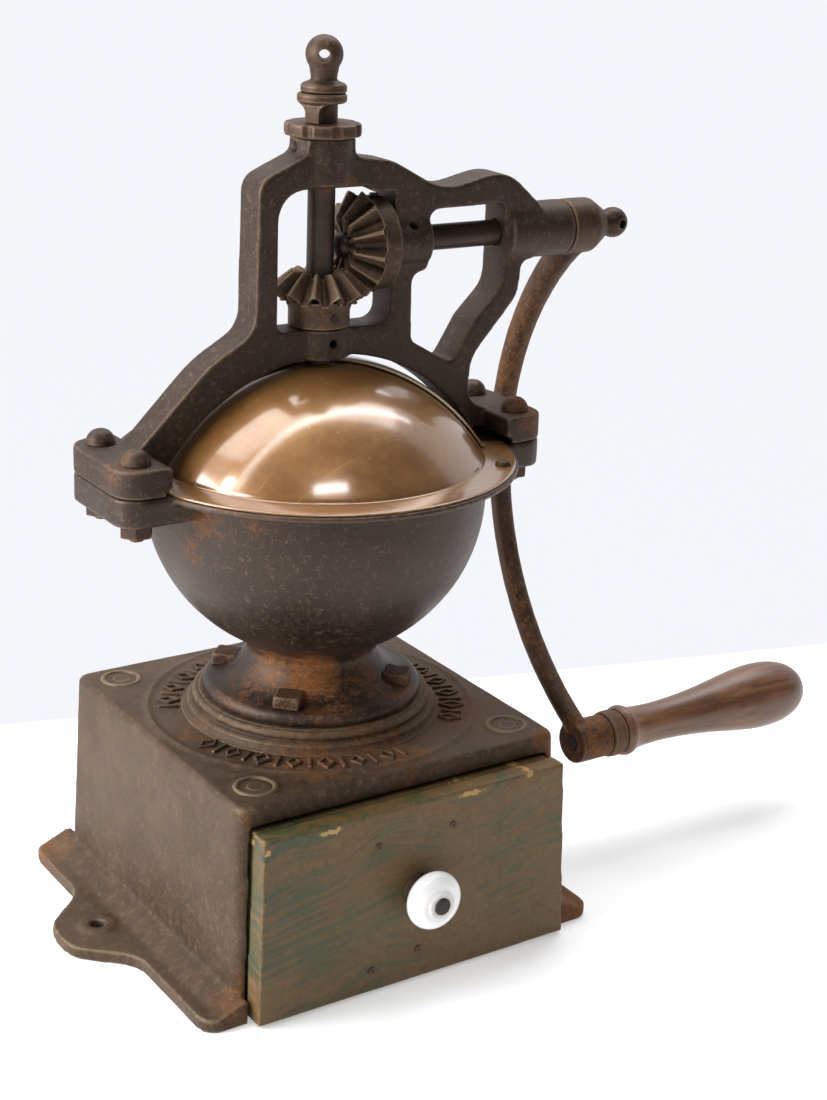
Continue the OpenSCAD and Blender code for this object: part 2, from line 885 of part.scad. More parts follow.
module cover_screws() {
  color(dark_iron)
    for (a = cover_screw_turns)
      rotate(a)
        translate([cover_screw_r, 0, 0]) {
          translate([0, 0, flange_top])
            difference() {
              cylinder(r1 = cover_screw_d + 0.5, r2 = cover_screw_d - 0.5, h = 2.2);
              translate([-cover_screw_d - cut, -0.5, 1.3])
                cube([2 * (cover_screw_d + cut), 1, 2]);
            }
          translate([0, 0, rim_z - rim_t])
            cylinder(d = cover_screw_d, h = rim_t + 1.5 + sheet_t);
        }
}

module rear_cover() {
  foot_r = sqrt(rear_r * rear_r - pow(rear_edge_z - dome_z, 2));
  color(brass)
    intersection() {
      rotate_extrude($fn = 128)
        union() {
          dome_profile(rear_r, rear_edge_z);
          // Rolled edge
          translate([foot_r - 0.1, rear_edge_z + 0.8])
            circle(0.8, $fn = 24);
        }
      sector(cover_turn - cover_lap, 180 + 2 * cover_lap, 2 * rear_r, rear_edge_z - cut, dome_z + 2 * rear_r);
    }
}

module grinding_shaft() {
  color(steel)
    difference() {
      translate([0, 0, shaft_end_z])
        cylinder(r = main_r, h = shaft_top - shaft_end_z);
      translate([0, 0, gear_hub_z + 5])
        rotate([90, 0, 0])
          cylinder(r = pin_r + seat, h = 2 * main_d, center = true);
      translate([0, 0, shaft_top - clamp_l])
        cylinder(d = clamp_d + 2 * seat, h = clamp_l + cut);
    }
}

// Radius of the tooth outline in the plane at depth h below the apex, for a radius on the back cone
function plane_r(rho, h) = rho * cos(45) * h / (pitch_r - (rho - virtual_r) * sin(45));
function involute(a) = tan(a) * 180 / PI - a;
function tooth_half(rho) =
  (90 / virtual_teeth - play_angle + involute(pressure) - involute(acos(virtual_base / max(rho, virtual_base))))
  / cos(45);

// Outline of all the teeth in the plane at depth h below the apex
function bevel_outline(h, steps = 4) =
  let (
    root = virtual_r - dedendum,
    tip = virtual_r + addendum,
    rho = [for (i = [0:steps]) root + (tip - root) * i / steps]
  )
  [for (k = [0:teeth - 1])
    each concat(
      [for (i = [0:steps]) polar(plane_r(rho[i], h), 360 * k / teeth - tooth_half(rho[i]))],
      [for (i = [steps:-1:0]) polar(plane_r(rho[i], h), 360 * k / teeth + tooth_half(rho[i]))]
    )];

// Teeth that run to the apex at the origin, below it, cut to length by the front and back cones
module bevel_teeth(back) {
  near = (virtual_r - face_w) / virtual_r;
  deep = pitch_r + dedendum * sin(45) + back + 0.5;
  shallow = near * (pitch_r - addendum * sin(45)) - 0.5;
  tip_r = pitch_r + addendum * cos(45);
  tip_h = pitch_r - addendum * sin(45);
  grow = (2 * pitch_r + back) / (2 * pitch_r);
  intersection() {
    translate([0, 0, -deep])
      linear_extrude(deep - shallow, scale = shallow / deep)
        polygon(bevel_outline(deep));
    rotate_extrude()
      polygon([
        [0, -deep],
        [2 * pitch_r + back - deep, -deep],
        [tip_r * grow + cut, -tip_h * grow + cut],
        [tip_r * near + cut, -tip_h * near + cut],
        [near * (pitch_r - dedendum * cos(45)), -near * (pitch_r + dedendum * sin(45))],
        [0, -near * (pitch_r + dedendum * sin(45))]
      ]);
  }
}

module shaft_gear() {
  root_h = pitch_r + dedendum * sin(45);
  root_r = pitch_r - dedendum * cos(45);
  color(iron)
    difference() {
      translate([0, 0, crank_z])
        union() {
          bevel_teeth(0);
          rotate_extrude()
            polygon([
              [0, -root_h + 1.5],
              [root_r - 2.5, -root_h + 1.5],
              [gear_hub_d / 2, -root_h - 3.5],
              [gear_hub_d / 2, gear_hub_z - crank_z],
              [0, gear_hub_z - crank_z]
            ]);
        }
      translate([0, 0, gear_hub_z - cut])
        cylinder(r = main_r + seat, h = pitch_r + gear_hub_l + cut);
      translate([0, 0, gear_hub_z + 5])
        rotate([90, 0, 0])
          cylinder(r = pin_r + seat, h = 2 * gear_hub_d, center = true);
    }
}

module shaft_gear_pin() {
  color(steel)
    translate([0, 0, gear_hub_z + 5])
      rotate([90, 0, 0])
        cylinder(r = pin_r, h = gear_hub_d + 1, center = true);
}

module crank_gear() {
  band_r = pitch_r + 0.2;
  band_h = 2 * pitch_r + band_gap - band_r;
  color(iron)
    difference() {
      translate([0, 0, crank_z])
        rotate([0, -90, 0])
          union() {
            rotate(180 / teeth)
              bevel_teeth(band_gap + 1);
            // Solid rim behind the teeth
            rotate_extrude()
              polygon([
                [0, -band_h - 2.2],
                [band_r - 2.2, -band_h - 2.2],
                [band_r, -band_h],
                [band_r, -gear_back_x + 3.3],
                [band_r - 1, -gear_back_x + 2.3],
                [gear_hub_d / 2, -gear_back_x + 2.3],
                [gear_hub_d / 2, -gear_back_x],
                [0, -gear_back_x]
              ]);
          }
      on_crank(0)
        cylinder(r = crank_r + seat, h = gear_back_x + cut);
      translate([gear_back_x - 6, 0, crank_z])
        cylinder(r = pin_r + seat, h = 3 * pitch_r, center = true);
    }
}

module crank_gear_pin() {
  color(steel)
    translate([gear_back_x - 6, 0, crank_z])
      cylinder(r = pin_r, h = 2 * pitch_r, center = true);
}

// Cross section of the cone at its foot: ridges with sharp crests
function cone_outline(r) = [
  for (k = [0:cone_ridges - 1])
    each [
      polar(r, 360 * k / cone_ridges),
      polar(0.84 * r, 360 * (k + 0.2) / cone_ridges),
      polar(0.8 * r, 360 * (k + 0.6) / cone_ridges)
    ]
];

module grinding_cone() {
  color(steel)
    difference() {
      translate([0, 0, cone_z])
        linear_extrude(cone_h, scale = 0.46, twist = -70, slices = 8)
          polygon(cone_outline(cone_r));
      translate([0, 0, cone_z - cut])
        cylinder(r = main_r + seat, h = cone_h + 2 * cut);
    }
}

module cone_nut() {
  color(steel)
    translate([0, 0, cone_z - cone_nut_h])
      difference() {
        cylinder(r = main_r + 5, h = cone_nut_h, $fn = 6);
        translate([0, 0, -cut])
          cylinder(r = main_r + seat, h = cone_nut_h + 2 * cut);
      }
}

module adjusting_nut() {
  color(dark_iron)
    translate([0, 0, adjuster_z])
      difference() {
        linear_extrude(nut_t)
          difference() {
            circle(d = nut_d);
            rotate(tongue_turn)
              for (k = [0:nut_notches - 1])
                rotate(360 * k / nut_notches)
                  translate([nut_d / 2 + 0.6, 0])
                    circle(notch_r);
          }
        translate([0, 0, -cut])
          cylinder(r = main_r + seat, h = nut_t + 2 * cut);
      }
}

// Cap on the shaft's end, with a tongue that drops into a notch of the adjusting nut
module lock_cap() {
  cap_r = cap_d / 2;
  color(dark_iron)
    difference() {
      union() {
        translate([0, 0, cap_z])
          rotate_extrude()
            difference() {
              polygon([
                [0, 0],
                [cap_r - 2.2, 0],
                [cap_r - 2.2, cap_h - 4.5],
                [cap_r, cap_h - 3],
                [cap_r, cap_h - 0.8],
                [cap_r - 0.8, cap_h],
                [0, cap_h]
              ]);
              translate([cap_r + 0.4, cap_h / 2 - 1.5])
                scale([0.8, 1])
                  circle(4);
            }
        rotate(tongue_turn)
          translate([main_r + 1, -tongue_w / 2, cap_z])
            cube([nut_d / 2 - main_r - 0.6, tongue_w, 3.6]);
        rotate(tongue_turn)
          translate([nut_d / 2 - 1.6 + seat, -tongue_w / 2 + 0.8, cap_z - nut_t + 1])
            cube([2, tongue_w - 1.6, nut_t]);
        rotate(-20)
          translate([main_r + 1, -2.5, cap_z])
            cube([5.5, 5, 5]);
      }
      translate([0, 0, cap_z - cut])
        cylinder(r = main_r + seat, h = shaft_top - cap_z + cut + seat);
      translate([0, 0, cap_z])
        cylinder(d = clamp_d + 2 * seat, h = cap_h + cut);
    }
}

// Ball-head screw; its profile runs from the collar over the neck to the ball
module ball_screw(collar_r, collar_t, neck_r, ball_r, rise) {
  neck_z = (collar_t + rise - ball_r) / 2 + 0.4;
  rotate_extrude() {
    polygon(concat(
      [[0, 0], [collar_r - 0.8, 0], [collar_r, 0.8], [collar_r, collar_t - 1]],
      smooth([
        [collar_r - 0.8, collar_t],
        [neck_r + 0.6, neck_z - 1.2],
        [neck_r, neck_z],
        [0.8 * ball_r, rise - 0.6 * ball_r]
      ]),
      [[0, rise - 0.6 * ball_r]]
    ));
    intersection() {
      translate([0, rise])
        circle(ball_r);
      translate([0, rise - ball_r])
        square([ball_r, 2 * ball_r]);
    }
  }
}

module clamp_screw() {
  color(dark_iron)
    difference() {
      union() {
        translate([0, 0, cap_top])
          ball_screw(10.2, 4, 5.8, ball_r, ball_rise);
        translate([0, 0, shaft_top - clamp_l + 1])
          cylinder(d = clamp_d, h = clamp_l + cap_roof);
      }
      translate([0, 0, ball_z])
        rotate([0, 90, tommy_turn])
          cylinder(d = 5, h = 2 * ball_d, center = true);
    }
}

module crank_shaft() {
  color(steel)
    difference() {
      union() {
        on_crank(nose_x)
          rotate_extrude()
            polygon(concat(
              smooth([[0, 0], [0.6 * crank_r, 0.7], [0.9 * crank_r, 2.2], [crank_r, 4]], 3),
              [[crank_r, hub_x - nose_x], [0, hub_x - nose_x]]
            ));
        on_crank(hub_x - cut)
          translate([-square_w / 2, -square_w / 2, 0])
            cube([square_w, square_w, square_l + cut]);
      }
      translate([gear_back_x - 6, 0, crank_z])
        cylinder(r = pin_r + seat, h = 2 * crank_d, center = true);
      on_crank(hub_x + 3)
        cylinder(d = crank_screw_d + 2 * seat, h = square_l);
    }
}

// Centre line of the arm, hub at the origin and the grip's end straight below; steps from 0 to 1
arm_half_angle = acos((arm_bend - arm_bow) / arm_bend);
function arm_angle(t) = arm_half_angle * (1 - 2 * t);
function arm_ring(t, sides) =
  let (
    a = arm_angle(t),
    centre = [arm_bow - arm_bend, -crank_reach / 2],
    half = (arm_hub_w + (arm_end_w - arm_hub_w) * sin(90 * min(1, 1.6 * t))) / 2,
    thick = min(half, arm_end_w / 2 + 0.5)
  )
  [for (k = [0:sides - 1])
    let (across = half * cos(360 * k / sides), out = thick * sin(360 * k / sides), r = arm_bend + across)
    [out, centre.x + r * cos(a), centre.y + r * sin(a)]];

// Skin over a run of closed rings, with flat ends
module loft(rings, sides) {
  n = len(rings);
  points = [for (ring = rings) each ring];
  side_faces = [
    for (i = [0:n - 2], k = [0:sides - 1])
      [i * sides + k, (i + 1) * sides + k, (i + 1) * sides + (k + 1) % sides, i * sides + (k + 1) % sides]
  ];
  first = [for (k = [0:sides - 1]) k];
  last = [for (k = [sides - 1:-1:0]) (n - 1) * sides + k];
  polyhedron(points, concat(side_faces, [first, last]));
}

module crank_arm() {
  rings = 26;
  sides = 20;
  color(rusty_iron)
    difference() {
      union() {
        on_crank(hub_x)
          rotate_extrude()
            polygon([
              [0, 0],
              [hub_r, 0],
              [hub_r, hub_l - 8],
              [hub_r - 0.8, hub_l - 7],
              [8, hub_l],
              [0, hub_l]
            ]);
        translate([arm_x, 0, crank_z])
          rotate([-crank_lean, 0, 0])
            loft([for (i = [0:rings]) arm_ring(i / rings, sides)], sides);
        on_grip(grip_boss_x)
          cylinder(d = grip_boss_d, h = grip_boss_l);
      }
      on_crank(hub_x - cut)
        translate([-square_w / 2 - seat, -square_w / 2 - seat, 0])
          cube([square_w + 2 * seat, square_w + 2 * seat, square_l + 1 + cut]);
      on_crank(hub_x)
        cylinder(d = crank_screw_d + 2 * seat, h = hub_l + cut);
      on_grip(grip_boss_x - cut)
        cylinder(r = spindle_r + seat, h = grip_boss_l + 2 * cut);
    }
}

module crank_screw() {
  color(dark_iron)
    difference() {
      union() {
        on_crank(hub_end)
          ball_screw(6.4, 1.6, 5, crank_ball_r, crank_ball_r + 1.4);
        on_crank(hub_x + 4)
          cylinder(d = crank_screw_d, h = hub_l - 3);
      }
      translate([hub_end + crank_ball_r + 1.4, 0, crank_z])
        rotate([0, 90, tommy_turn + 40])
          cylinder(d = 4.4, h = 2 * crank_ball_d, center = true);
    }
}

module grip_spindle() {
  color(steel)
    union() {
      on_grip(grip_boss_x)
        cylinder(r = spindle_r, h = grip_end - 2 - grip_boss_x);
      on_grip(grip_end - 3.2 + washer_t)
        rotate_extrude()
          polygon(concat([[0, 0]], smooth([[spindle_r + 1.4, 0], [spindle_r + 0.6, 1.2], [0, 1.9]], 3)));
    }
}

module spindle_washer() {
  color(steel)
    on_grip(grip_end - 3.2)
      difference() {
        cylinder(r = washer_r, h = washer_t);
        translate([0, 0, -cut])
          cylinder(r = spindle_r + seat, h = washer_t + 2 * cut);
      }
}

// Turned grip: slim at the ferrule, swelling to the hand's heel, with a round end
module wooden_grip() {
  l = grip_l;
  r = grip_r;
  color(walnut)
    on_grip(grip_x)
      difference() {
        rotate_extrude()
          union() {
            polygon(concat(
              [[0, 0]],
              smooth([
                [0.47 * r, 0],
                [0.5 * r, 0.06 * l],
                [0.6 * r, 0.15 * l],
                [0.77 * r, 0.33 * l],
                [0.93 * r, 0.48 * l],
                [r, 0.66 * l],
                [0.97 * r, 0.8 * l],
                [0.82 * r, 0.92 * l],
                [0.6 * r, 0.98 * l],
                [0.42 * r, l]
              ]),
              [[0, l]]
            ));
            translate([0, -ferrule_l + 2])
              square([tenon_r, ferrule_l]);
          }
        translate([0, 0, -ferrule_l])
          cylinder(r = spindle_r + running, h = grip_l + ferrule_l + cut);
        translate([0, 0, grip_l - 3.2 - side_gap])
          cylinder(r = washer_r + side_gap, h = 4);
      }
}

module grip_ferrule() {
  color(rusty_iron)
    on_grip(ferrule_x)
      difference() {
        rotate_extrude()
          polygon([
            [spindle_r + running, 0],
            [ferrule_r - 1.2, 0],
            [ferrule_r - 0.4, 1.2],
            [ferrule_r, 4],
            [ferrule_r - 0.2, ferrule_l - 1],
            [ferrule_r - 0.7, ferrule_l],
            [spindle_r + running, ferrule_l]
          ]);
        translate([0, 0, 2 - seat])
          cylinder(r = tenon_r + seat, h = ferrule_l);
      }
}

module drawer_front() {
  color(green_paint)
    difference() {
      union() {
        flared_slab(board_half, board_top, board_z, -(deck_half + side_gap + board_t), -(deck_half + side_gap + wall_flare));
        flared_slab(inner_half - 1.2, board_top - 1, board_z + 1, -(deck_half + side_gap + 1), board_back);
      }
      for (p = nails)
        on_board(p.x, p.y)
          cylinder(r = nail_r + seat, h = 80, center = true);
      on_board(0, knob_z)
        cylinder(r = knob_screw_r + seat, h = 80, center = true);
    }
}

// Open tray of folded sheet, nailed to the board by its front wall
module drawer_tray() {
  color(steel)
    difference() {
      translate([-tray_half, board_back, tray_z])
        cube([2 * tray_half, tray_l, tray_h]);
      translate([-tray_half + tray_t, board_back + tray_t, tray_z + tray_t])
        cube([2 * (tray_half - tray_t), tray_l - 2 * tray_t, tray_h]);
      for (p = nails)
        on_board(p.x, p.y)
          cylinder(r = nail_r + seat, h = 80, center = true);
      on_board(0, knob_z)
        cylinder(r = knob_screw_r + seat, h = 80, center = true);
    }
}

module drawer_nails() {
  color(dark_iron)
    for (p = nails)
      let (depth = board_back + tray_t + 1 - board_face(p.y))
        on_board(p.x, p.y) {
          translate([0, 0, -depth])
            cylinder(r = nail_r, h = depth + 0.2);
          cylinder(r = nail_head_r, h = 0.5);
        }
}

module knob_collar() {
  color(dark_iron)
    on_board(0, knob_z)
      difference() {
        rotate_extrude()
          polygon(concat(
            [[0, 0]],
            smooth([[9.2, 0], [8.2, 1.6], [6.6, collar_t - 1], [7, collar_t]], 3),
            [[0, collar_t]]
          ));
        translate([0, 0, -cut])
          cylinder(r = knob_screw_r + seat, h = collar_t + 2 * cut);
      }
}

// Porcelain knob: a short neck, a full round body and a low ring round the screw
module drawer_knob() {
  color(porcelain)
    on_board(0, knob_z)
      translate([0, 0, collar_t])
        difference() {
          rotate_extrude()
            polygon(concat(
              [[0, 0]],
              smooth([
                [0.56 * knob_r, 0],
                [0.66 * knob_r, 1.2],
                [0.9 * knob_r, 3.2],
                [knob_r, 6.2],
                [0.93 * knob_r, 9.4],
                [0.72 * knob_r, 11.6],
                [0.5 * knob_r, 12.3],
                [0.46 * knob_r, knob_t],
                [0.3 * knob_r, knob_t]
              ]),
              [[0, knob_t]]
            ));
          translate([0, 0, -cut])
            cylinder(r = knob_screw_r + seat, h = knob_t + 2 * cut);
        }
}

module knob_screw() {
  reach = board_back + tray_t + 5 - board_face(knob_z);
  color(dark_iron)
    on_board(0, knob_z)
      union() {
        translate([0, 0, collar_t + knob_t])
          cylinder(r1 = 4.3, r2 = 3.6, h = 1.2);
        translate([0, 0, -reach])
          cylinder(r = knob_screw_r, h = reach + collar_t + knob_t + 0.5);
      }
}

module knob_nut() {
  nut_y = board_back + tray_t;
  color(steel)
    translate([0, nut_y, knob_z + (nut_y - board_face(knob_z)) * -tan(lean_angle)])
      rotate([-90, 0, 0])
        difference() {
          cylinder(r = 4.6, h = 3.4, $fn = 6);
          translate([0, 0, -cut])
            cylinder(r = knob_screw_r + 3 * seat, h = 3.4 + 2 * cut);
        }
}

base_casting();
hopper_bowl();
hopper_bolts();
grinding_ring();
bridge_frame();
bridge_bolts();
bridge_nuts();
front_cover();
cover_screws();
rear_cover();
grinding_shaft();
shaft_gear();
shaft_gear_pin();
grinding_cone();
cone_nut();
adjusting_nut();
lock_cap();
clamp_screw();
crank_shaft();
crank_gear();
crank_gear_pin();
crank_arm();
crank_screw();
grip_spindle();
spindle_washer();
wooden_grip();
grip_ferrule();
drawer_front();
drawer_tray();
drawer_nails();
drawer_knob();
knob_collar();
knob_screw();
knob_nut();
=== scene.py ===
"""Antique counter coffee grinder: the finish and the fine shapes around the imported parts, in metres."""

import json
import math

import bmesh
import bpy
import numpy as np
from mathutils import Matrix, Vector, noise

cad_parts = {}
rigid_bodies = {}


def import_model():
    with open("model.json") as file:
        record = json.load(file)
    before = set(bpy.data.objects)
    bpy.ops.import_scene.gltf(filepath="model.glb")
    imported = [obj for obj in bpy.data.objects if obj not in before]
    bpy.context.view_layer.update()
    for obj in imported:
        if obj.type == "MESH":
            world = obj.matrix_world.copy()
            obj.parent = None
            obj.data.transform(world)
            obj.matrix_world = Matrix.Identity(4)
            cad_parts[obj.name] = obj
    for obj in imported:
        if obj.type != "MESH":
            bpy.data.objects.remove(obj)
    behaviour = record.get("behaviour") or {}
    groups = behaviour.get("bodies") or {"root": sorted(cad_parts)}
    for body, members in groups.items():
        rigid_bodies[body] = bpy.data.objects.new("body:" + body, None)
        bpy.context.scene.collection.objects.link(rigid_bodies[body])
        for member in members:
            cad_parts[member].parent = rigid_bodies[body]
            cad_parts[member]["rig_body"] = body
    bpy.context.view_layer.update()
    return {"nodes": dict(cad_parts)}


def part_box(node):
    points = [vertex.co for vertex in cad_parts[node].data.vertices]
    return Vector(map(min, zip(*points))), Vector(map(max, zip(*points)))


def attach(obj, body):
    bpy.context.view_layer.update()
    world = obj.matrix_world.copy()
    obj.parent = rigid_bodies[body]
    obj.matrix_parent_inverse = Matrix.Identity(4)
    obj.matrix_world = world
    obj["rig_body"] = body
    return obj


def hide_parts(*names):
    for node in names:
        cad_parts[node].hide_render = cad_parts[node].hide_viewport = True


MM = 0.001
DECK_Z = 100.0
PEDESTAL_Z = 110.0
RIM_Z = 225.5
BRIDGE_Z = 226.0
BRIDGE_FOOT_Z = 239.0
CRANK_Z = 322.0
DOME_Z = 177.0
GRIP_Y, GRIP_Z = -32.96, 61.07
KNOB_Z = 46.0
BOARD_LEAN = math.atan(3.5 / 100)

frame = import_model()


# Small tools


def linear(code):
    """sRGB hex code to the linear colour that Blender takes."""
    channels = [int(code[i : i + 2], 16) / 255 for i in (1, 3, 5)]
    return [c / 12.92 if c <= 0.04045 else ((c + 0.055) / 1.055) ** 2.4 for c in channels] + [1.0]


def per_metre(size_mm):
    """Texture scale at which a pattern's features have the given size."""
    return 1000.0 / size_mm


def add(tree, kind, settings=None, links=None):
    """Adds a node. Settings go to its properties or inputs, links to its inputs."""
    node = tree.nodes.new(kind)
    for key, value in (settings or {}).items():
        if isinstance(key, str) and hasattr(node, key):
            setattr(node, key, value)
        else:
            node.inputs[key].default_value = value
    for key, socket in (links or {}).items():
        tree.links.new(socket, node.inputs[key])
    return node


def curve(points, steps=6):
    """Smooth line through the given points."""
    line = []
    last = len(points) - 1
    for i in range(last):
        a, b, c, d = (np.array(points[min(max(k, 0), last)], float) for k in (i - 1, i, i + 1, i + 2))
        for s in range(steps):
            t = s / steps
            line.append(tuple(0.5 * (2 * b + (c - a) * t + (2 * a - 5 * b + 4 * c - d) * t**2 + (3 * b - a - 3 * c + d) * t**3)))
    return line + [tuple(points[last])]


def arc(centre, radius, start, end, steps):
    """Points of an arc in a half section, angles in degrees from the outward direction."""
    angles = [math.radians(start + (end - start) * i / steps) for i in range(steps + 1)]
    return [(centre[0] + radius * math.cos(a), centre[1] + radius * math.sin(a)) for a in angles]


# Meshes


def turned(name, profile, sides=128, start=0.0, span=360.0, bite=None):
    """Mesh turned about Z from a closed half section of (radius, height) in millimetres; bite limits the radius."""
    whole = span >= 360
    columns = sides if whole else sides + 1
    n = len(profile)
    points, faces = [], []
    for c in range(columns):
        a = math.radians(start + span * c / sides)
        limit = bite(a) if bite else 1e6
        points += [(min(r, limit) * math.cos(a) * MM, min(r, limit) * math.sin(a) * MM, h * MM) for r, h in profile]
    for c in range(sides):
        d = (c + 1) % columns
        faces += [(c * n + k, d * n + k, d * n + (k + 1) % n, c * n + (k + 1) % n) for k in range(n)]
    if not whole:
        faces += [tuple(range(n)), tuple(range(columns * n - 1, (columns - 1) * n - 1, -1))]
    return built(name, points, faces)


def built(name, points, faces):
    """Mesh from points in metres, with its faces turned outwards."""
    mesh = bpy.data.meshes.new(name)
    mesh.from_pydata(points, [], faces)
    clean(mesh)
    return mesh


def joined(name, meshes):
    """One mesh that holds all the given ones."""
    points, faces = [], []
    for mesh in meshes:
        first = len(points)
        points += [tuple(v.co) for v in mesh.vertices]
        faces += [tuple(first + v for v in face.vertices) for face in mesh.polygons]
    whole = bpy.data.meshes.new(name)
    whole.from_pydata(points, [], faces)
    return whole


def clean(mesh):
    """Merges doubles and turns every face outwards."""
    shape = bmesh.new()
    shape.from_mesh(mesh)
    bmesh.ops.remove_doubles(shape, verts=shape.verts, dist=2e-6)
    bmesh.ops.dissolve_degenerate(shape, edges=shape.edges, dist=1e-7)
    bmesh.ops.recalc_face_normals(shape, faces=shape.faces)
    shape.to_mesh(mesh)
    shape.free()
    mesh.update()


def vertex_rows(mesh):
    rows = np.empty(len(mesh.vertices) * 3, np.float32)
    mesh.vertices.foreach_get("co", rows)
    return rows.reshape(-1, 3).astype(float)


def edge_rows(mesh):
    rows = np.empty(len(mesh.edges) * 2, np.int32)
    mesh.edges.foreach_get("vertices", rows)
    return rows.reshape(-1, 2)


def neighbour_sum(values, pairs):
    """Sum of each vertex's neighbours, for one column of values."""
    size = len(values)
    return np.bincount(pairs[:, 0], values[pairs[:, 1]], size) + np.bincount(pairs[:, 1], values[pairs[:, 0]], size)


def mark_relief(mesh, spread=3):
    """Writes the attribute relief: curvature in 1/mm, above 0 on outer edges and below 0 in inner corners."""
    points = vertex_rows(mesh) / MM
    pairs = edge_rows(mesh)
    count = np.maximum(neighbour_sum(np.ones(len(points)), pairs), 1)
    normals = np.empty(len(points) * 3, np.float32)
    mesh.vertex_normals.foreach_get("vector", normals)
    normals = normals.reshape(-1, 3)
    mean = np.stack([neighbour_sum(points[:, k], pairs) / count for k in range(3)], 1)
    length = ((points[pairs[:, 0]] - points[pairs[:, 1]]) ** 2).sum(1)
    size = len(points)
    square = (np.bincount(pairs[:, 0], length, size) + np.bincount(pairs[:, 1], length, size)) / count
    bend = 4 * ((points - mean) * normals).sum(1) / np.maximum(square, 1e-3)
    for _ in range(spread):
        bend = 0.5 * (bend + neighbour_sum(bend, pairs) / count)
    layer = mesh.attributes.new("relief", "FLOAT", "POINT")
    layer.data.foreach_set("value", np.clip(bend, -2, 2).astype(np.float32))


def soften(mesh, rounds, held=None):
    """Lets every point move towards its neighbours, which rounds edges and fills corners."""
    points = vertex_rows(mesh)
    pairs = edge_rows(mesh)
    count = np.maximum(neighbour_sum(np.ones(len(points)), pairs), 1)
    share = 0.5 if held is None else 0.5 * (1 - held)[:, None]
    for _ in range(rounds):
        mean = np.stack([neighbour_sum(points[:, k], pairs) / count for k in range(3)], 1)
        points += share * (mean - points)
    mesh.vertices.foreach_set("co", points.astype(np.float32).ravel())
    mesh.update()


def near_bores(points, bores):
    """1 for points on or beside a bore's wall, which keeps its place, and 0 elsewhere; millimetres."""
    held = np.zeros(len(points))
    for origin, axis, radius in bores:
        away = points - np.array(origin, float)
        line = np.array(axis, float)
        distance = np.linalg.norm(away - np.outer(away @ line, line), axis=1)
        held = np.maximum(held, np.clip((radius + 1.6 - distance) / 0.8, 0, 1))
    return held


def uneven(mesh, depth, size, held, low, high):
    """The slight waviness of a sand-cast or hand-worn face; depth and size in millimetres."""
    points = vertex_rows(mesh) / MM
    normals = np.empty(len(points) * 3, np.float32)
    mesh.vertex_normals.foreach_get("vector", normals)
    wave = np.array([noise.noise(Vector(p / size)) + 0.4 * noise.noise(Vector(p / size * 3.7)) for p in points])
    points += normals.reshape(-1, 3) * (wave * depth * (1 - held))[:, None]
    points = np.clip(points, np.array(low) / MM, np.array(high) / MM)
    mesh.vertices.foreach_set("co", (points * MM).astype(np.float32).ravel())
    mesh.update()


def evaluated(mesh, kind, settings):
    """Mesh after one modifier of the given kind."""
    holder = bpy.data.objects.new(mesh.name + ".raw", mesh)
    bpy.context.scene.collection.objects.link(holder)
    modifier = holder.modifiers.new("finish", kind)
    for key, value in settings.items():
        setattr(modifier, key, value)
    bpy.context.view_layer.update()
    result = bpy.data.meshes.new_from_object(holder.evaluated_get(bpy.context.evaluated_depsgraph_get()))
    bpy.data.objects.remove(holder)
    return result


def softened(node, piece, voxel, rounds, wave=0.0, wave_size=14.0, bores=(), spread=3, keep=1.0, extra=(), reshape=None):
    """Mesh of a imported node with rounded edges, filled corners and a slightly uneven face."""
    mesh = frame["nodes"][node].data.copy()
    mesh.materials.clear()
    clean_copy(mesh)
    if extra:
        mesh = joined(piece, [mesh, *extra])
    return worn(mesh, piece, voxel, rounds, wave, wave_size, bores, spread, keep, *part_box(node), reshape)


def worn(mesh, piece, voxel, rounds, wave, wave_size, bores, spread, keep, low, high, reshape=None):
    """One even skin over a raw mesh of overlapping solids, worn round at its edges."""
    mesh.name = piece
    skin = evaluated(mesh, "REMESH", {"mode": "VOXEL", "voxel_size": voxel * MM, "use_smooth_shade": True})
    if reshape:
        skin.vertices.foreach_set("co", (reshape(vertex_rows(skin) / MM) * MM).astype(np.float32).ravel())
    held = near_bores(vertex_rows(skin) / MM, bores)
    soften(skin, rounds, held)
    if wave:
        uneven(skin, wave, wave_size, held, low, high)
    mark_relief(skin, spread)
    if keep < 1:
        skin = evaluated(skin, "DECIMATE", {"ratio": keep})
        skin.vertices.foreach_set("co", np.clip(vertex_rows(skin), low, high).astype(np.float32).ravel())
    skin.name = piece
    return skin


def sculpted(mesh, piece, voxel, rounds, wave=0.0, wave_size=14.0, keep=1.0):
    """The same worn skin over a shape made here."""
    points = vertex_rows(mesh)
    return worn(mesh, piece, voxel, rounds, wave, wave_size, (), 3, keep, points.min(0), points.max(0))


def clean_copy(mesh):
    """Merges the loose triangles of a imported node's copy; they already point outwards."""
    shape = bmesh.new()
    shape.from_mesh(mesh)
    bmesh.ops.remove_doubles(shape, verts=shape.verts, dist=2e-6)
    shape.to_mesh(mesh)
    shape.free()
    mesh.update()


def smooth_shade(mesh, sharp=40):
    mesh.shade_smooth()
    mesh.set_sharp_from_angle(angle=math.radians(sharp))


def place(mesh, piece, material, body, stands_for=()):
    """Puts a finished mesh into the scene as a piece that rides on a body."""
    mesh.materials.clear()
    mesh.materials.append(material)
    piece_object = bpy.data.objects.new(piece, mesh)
    bpy.context.scene.collection.objects.link(piece_object)
    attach(piece_object, body)
    if stands_for:
        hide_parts(*stands_for)
    return piece_object


def stand_in(mesh, node, piece, material):
    """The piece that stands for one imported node."""
    return place(mesh, piece, material, frame["nodes"][node]["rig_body"], [node])


def repaint(node, material):
    """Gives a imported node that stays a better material."""
    shown = frame["nodes"][node]
    shown.data.materials.clear()
    shown.data.materials.append(material)


# Materials


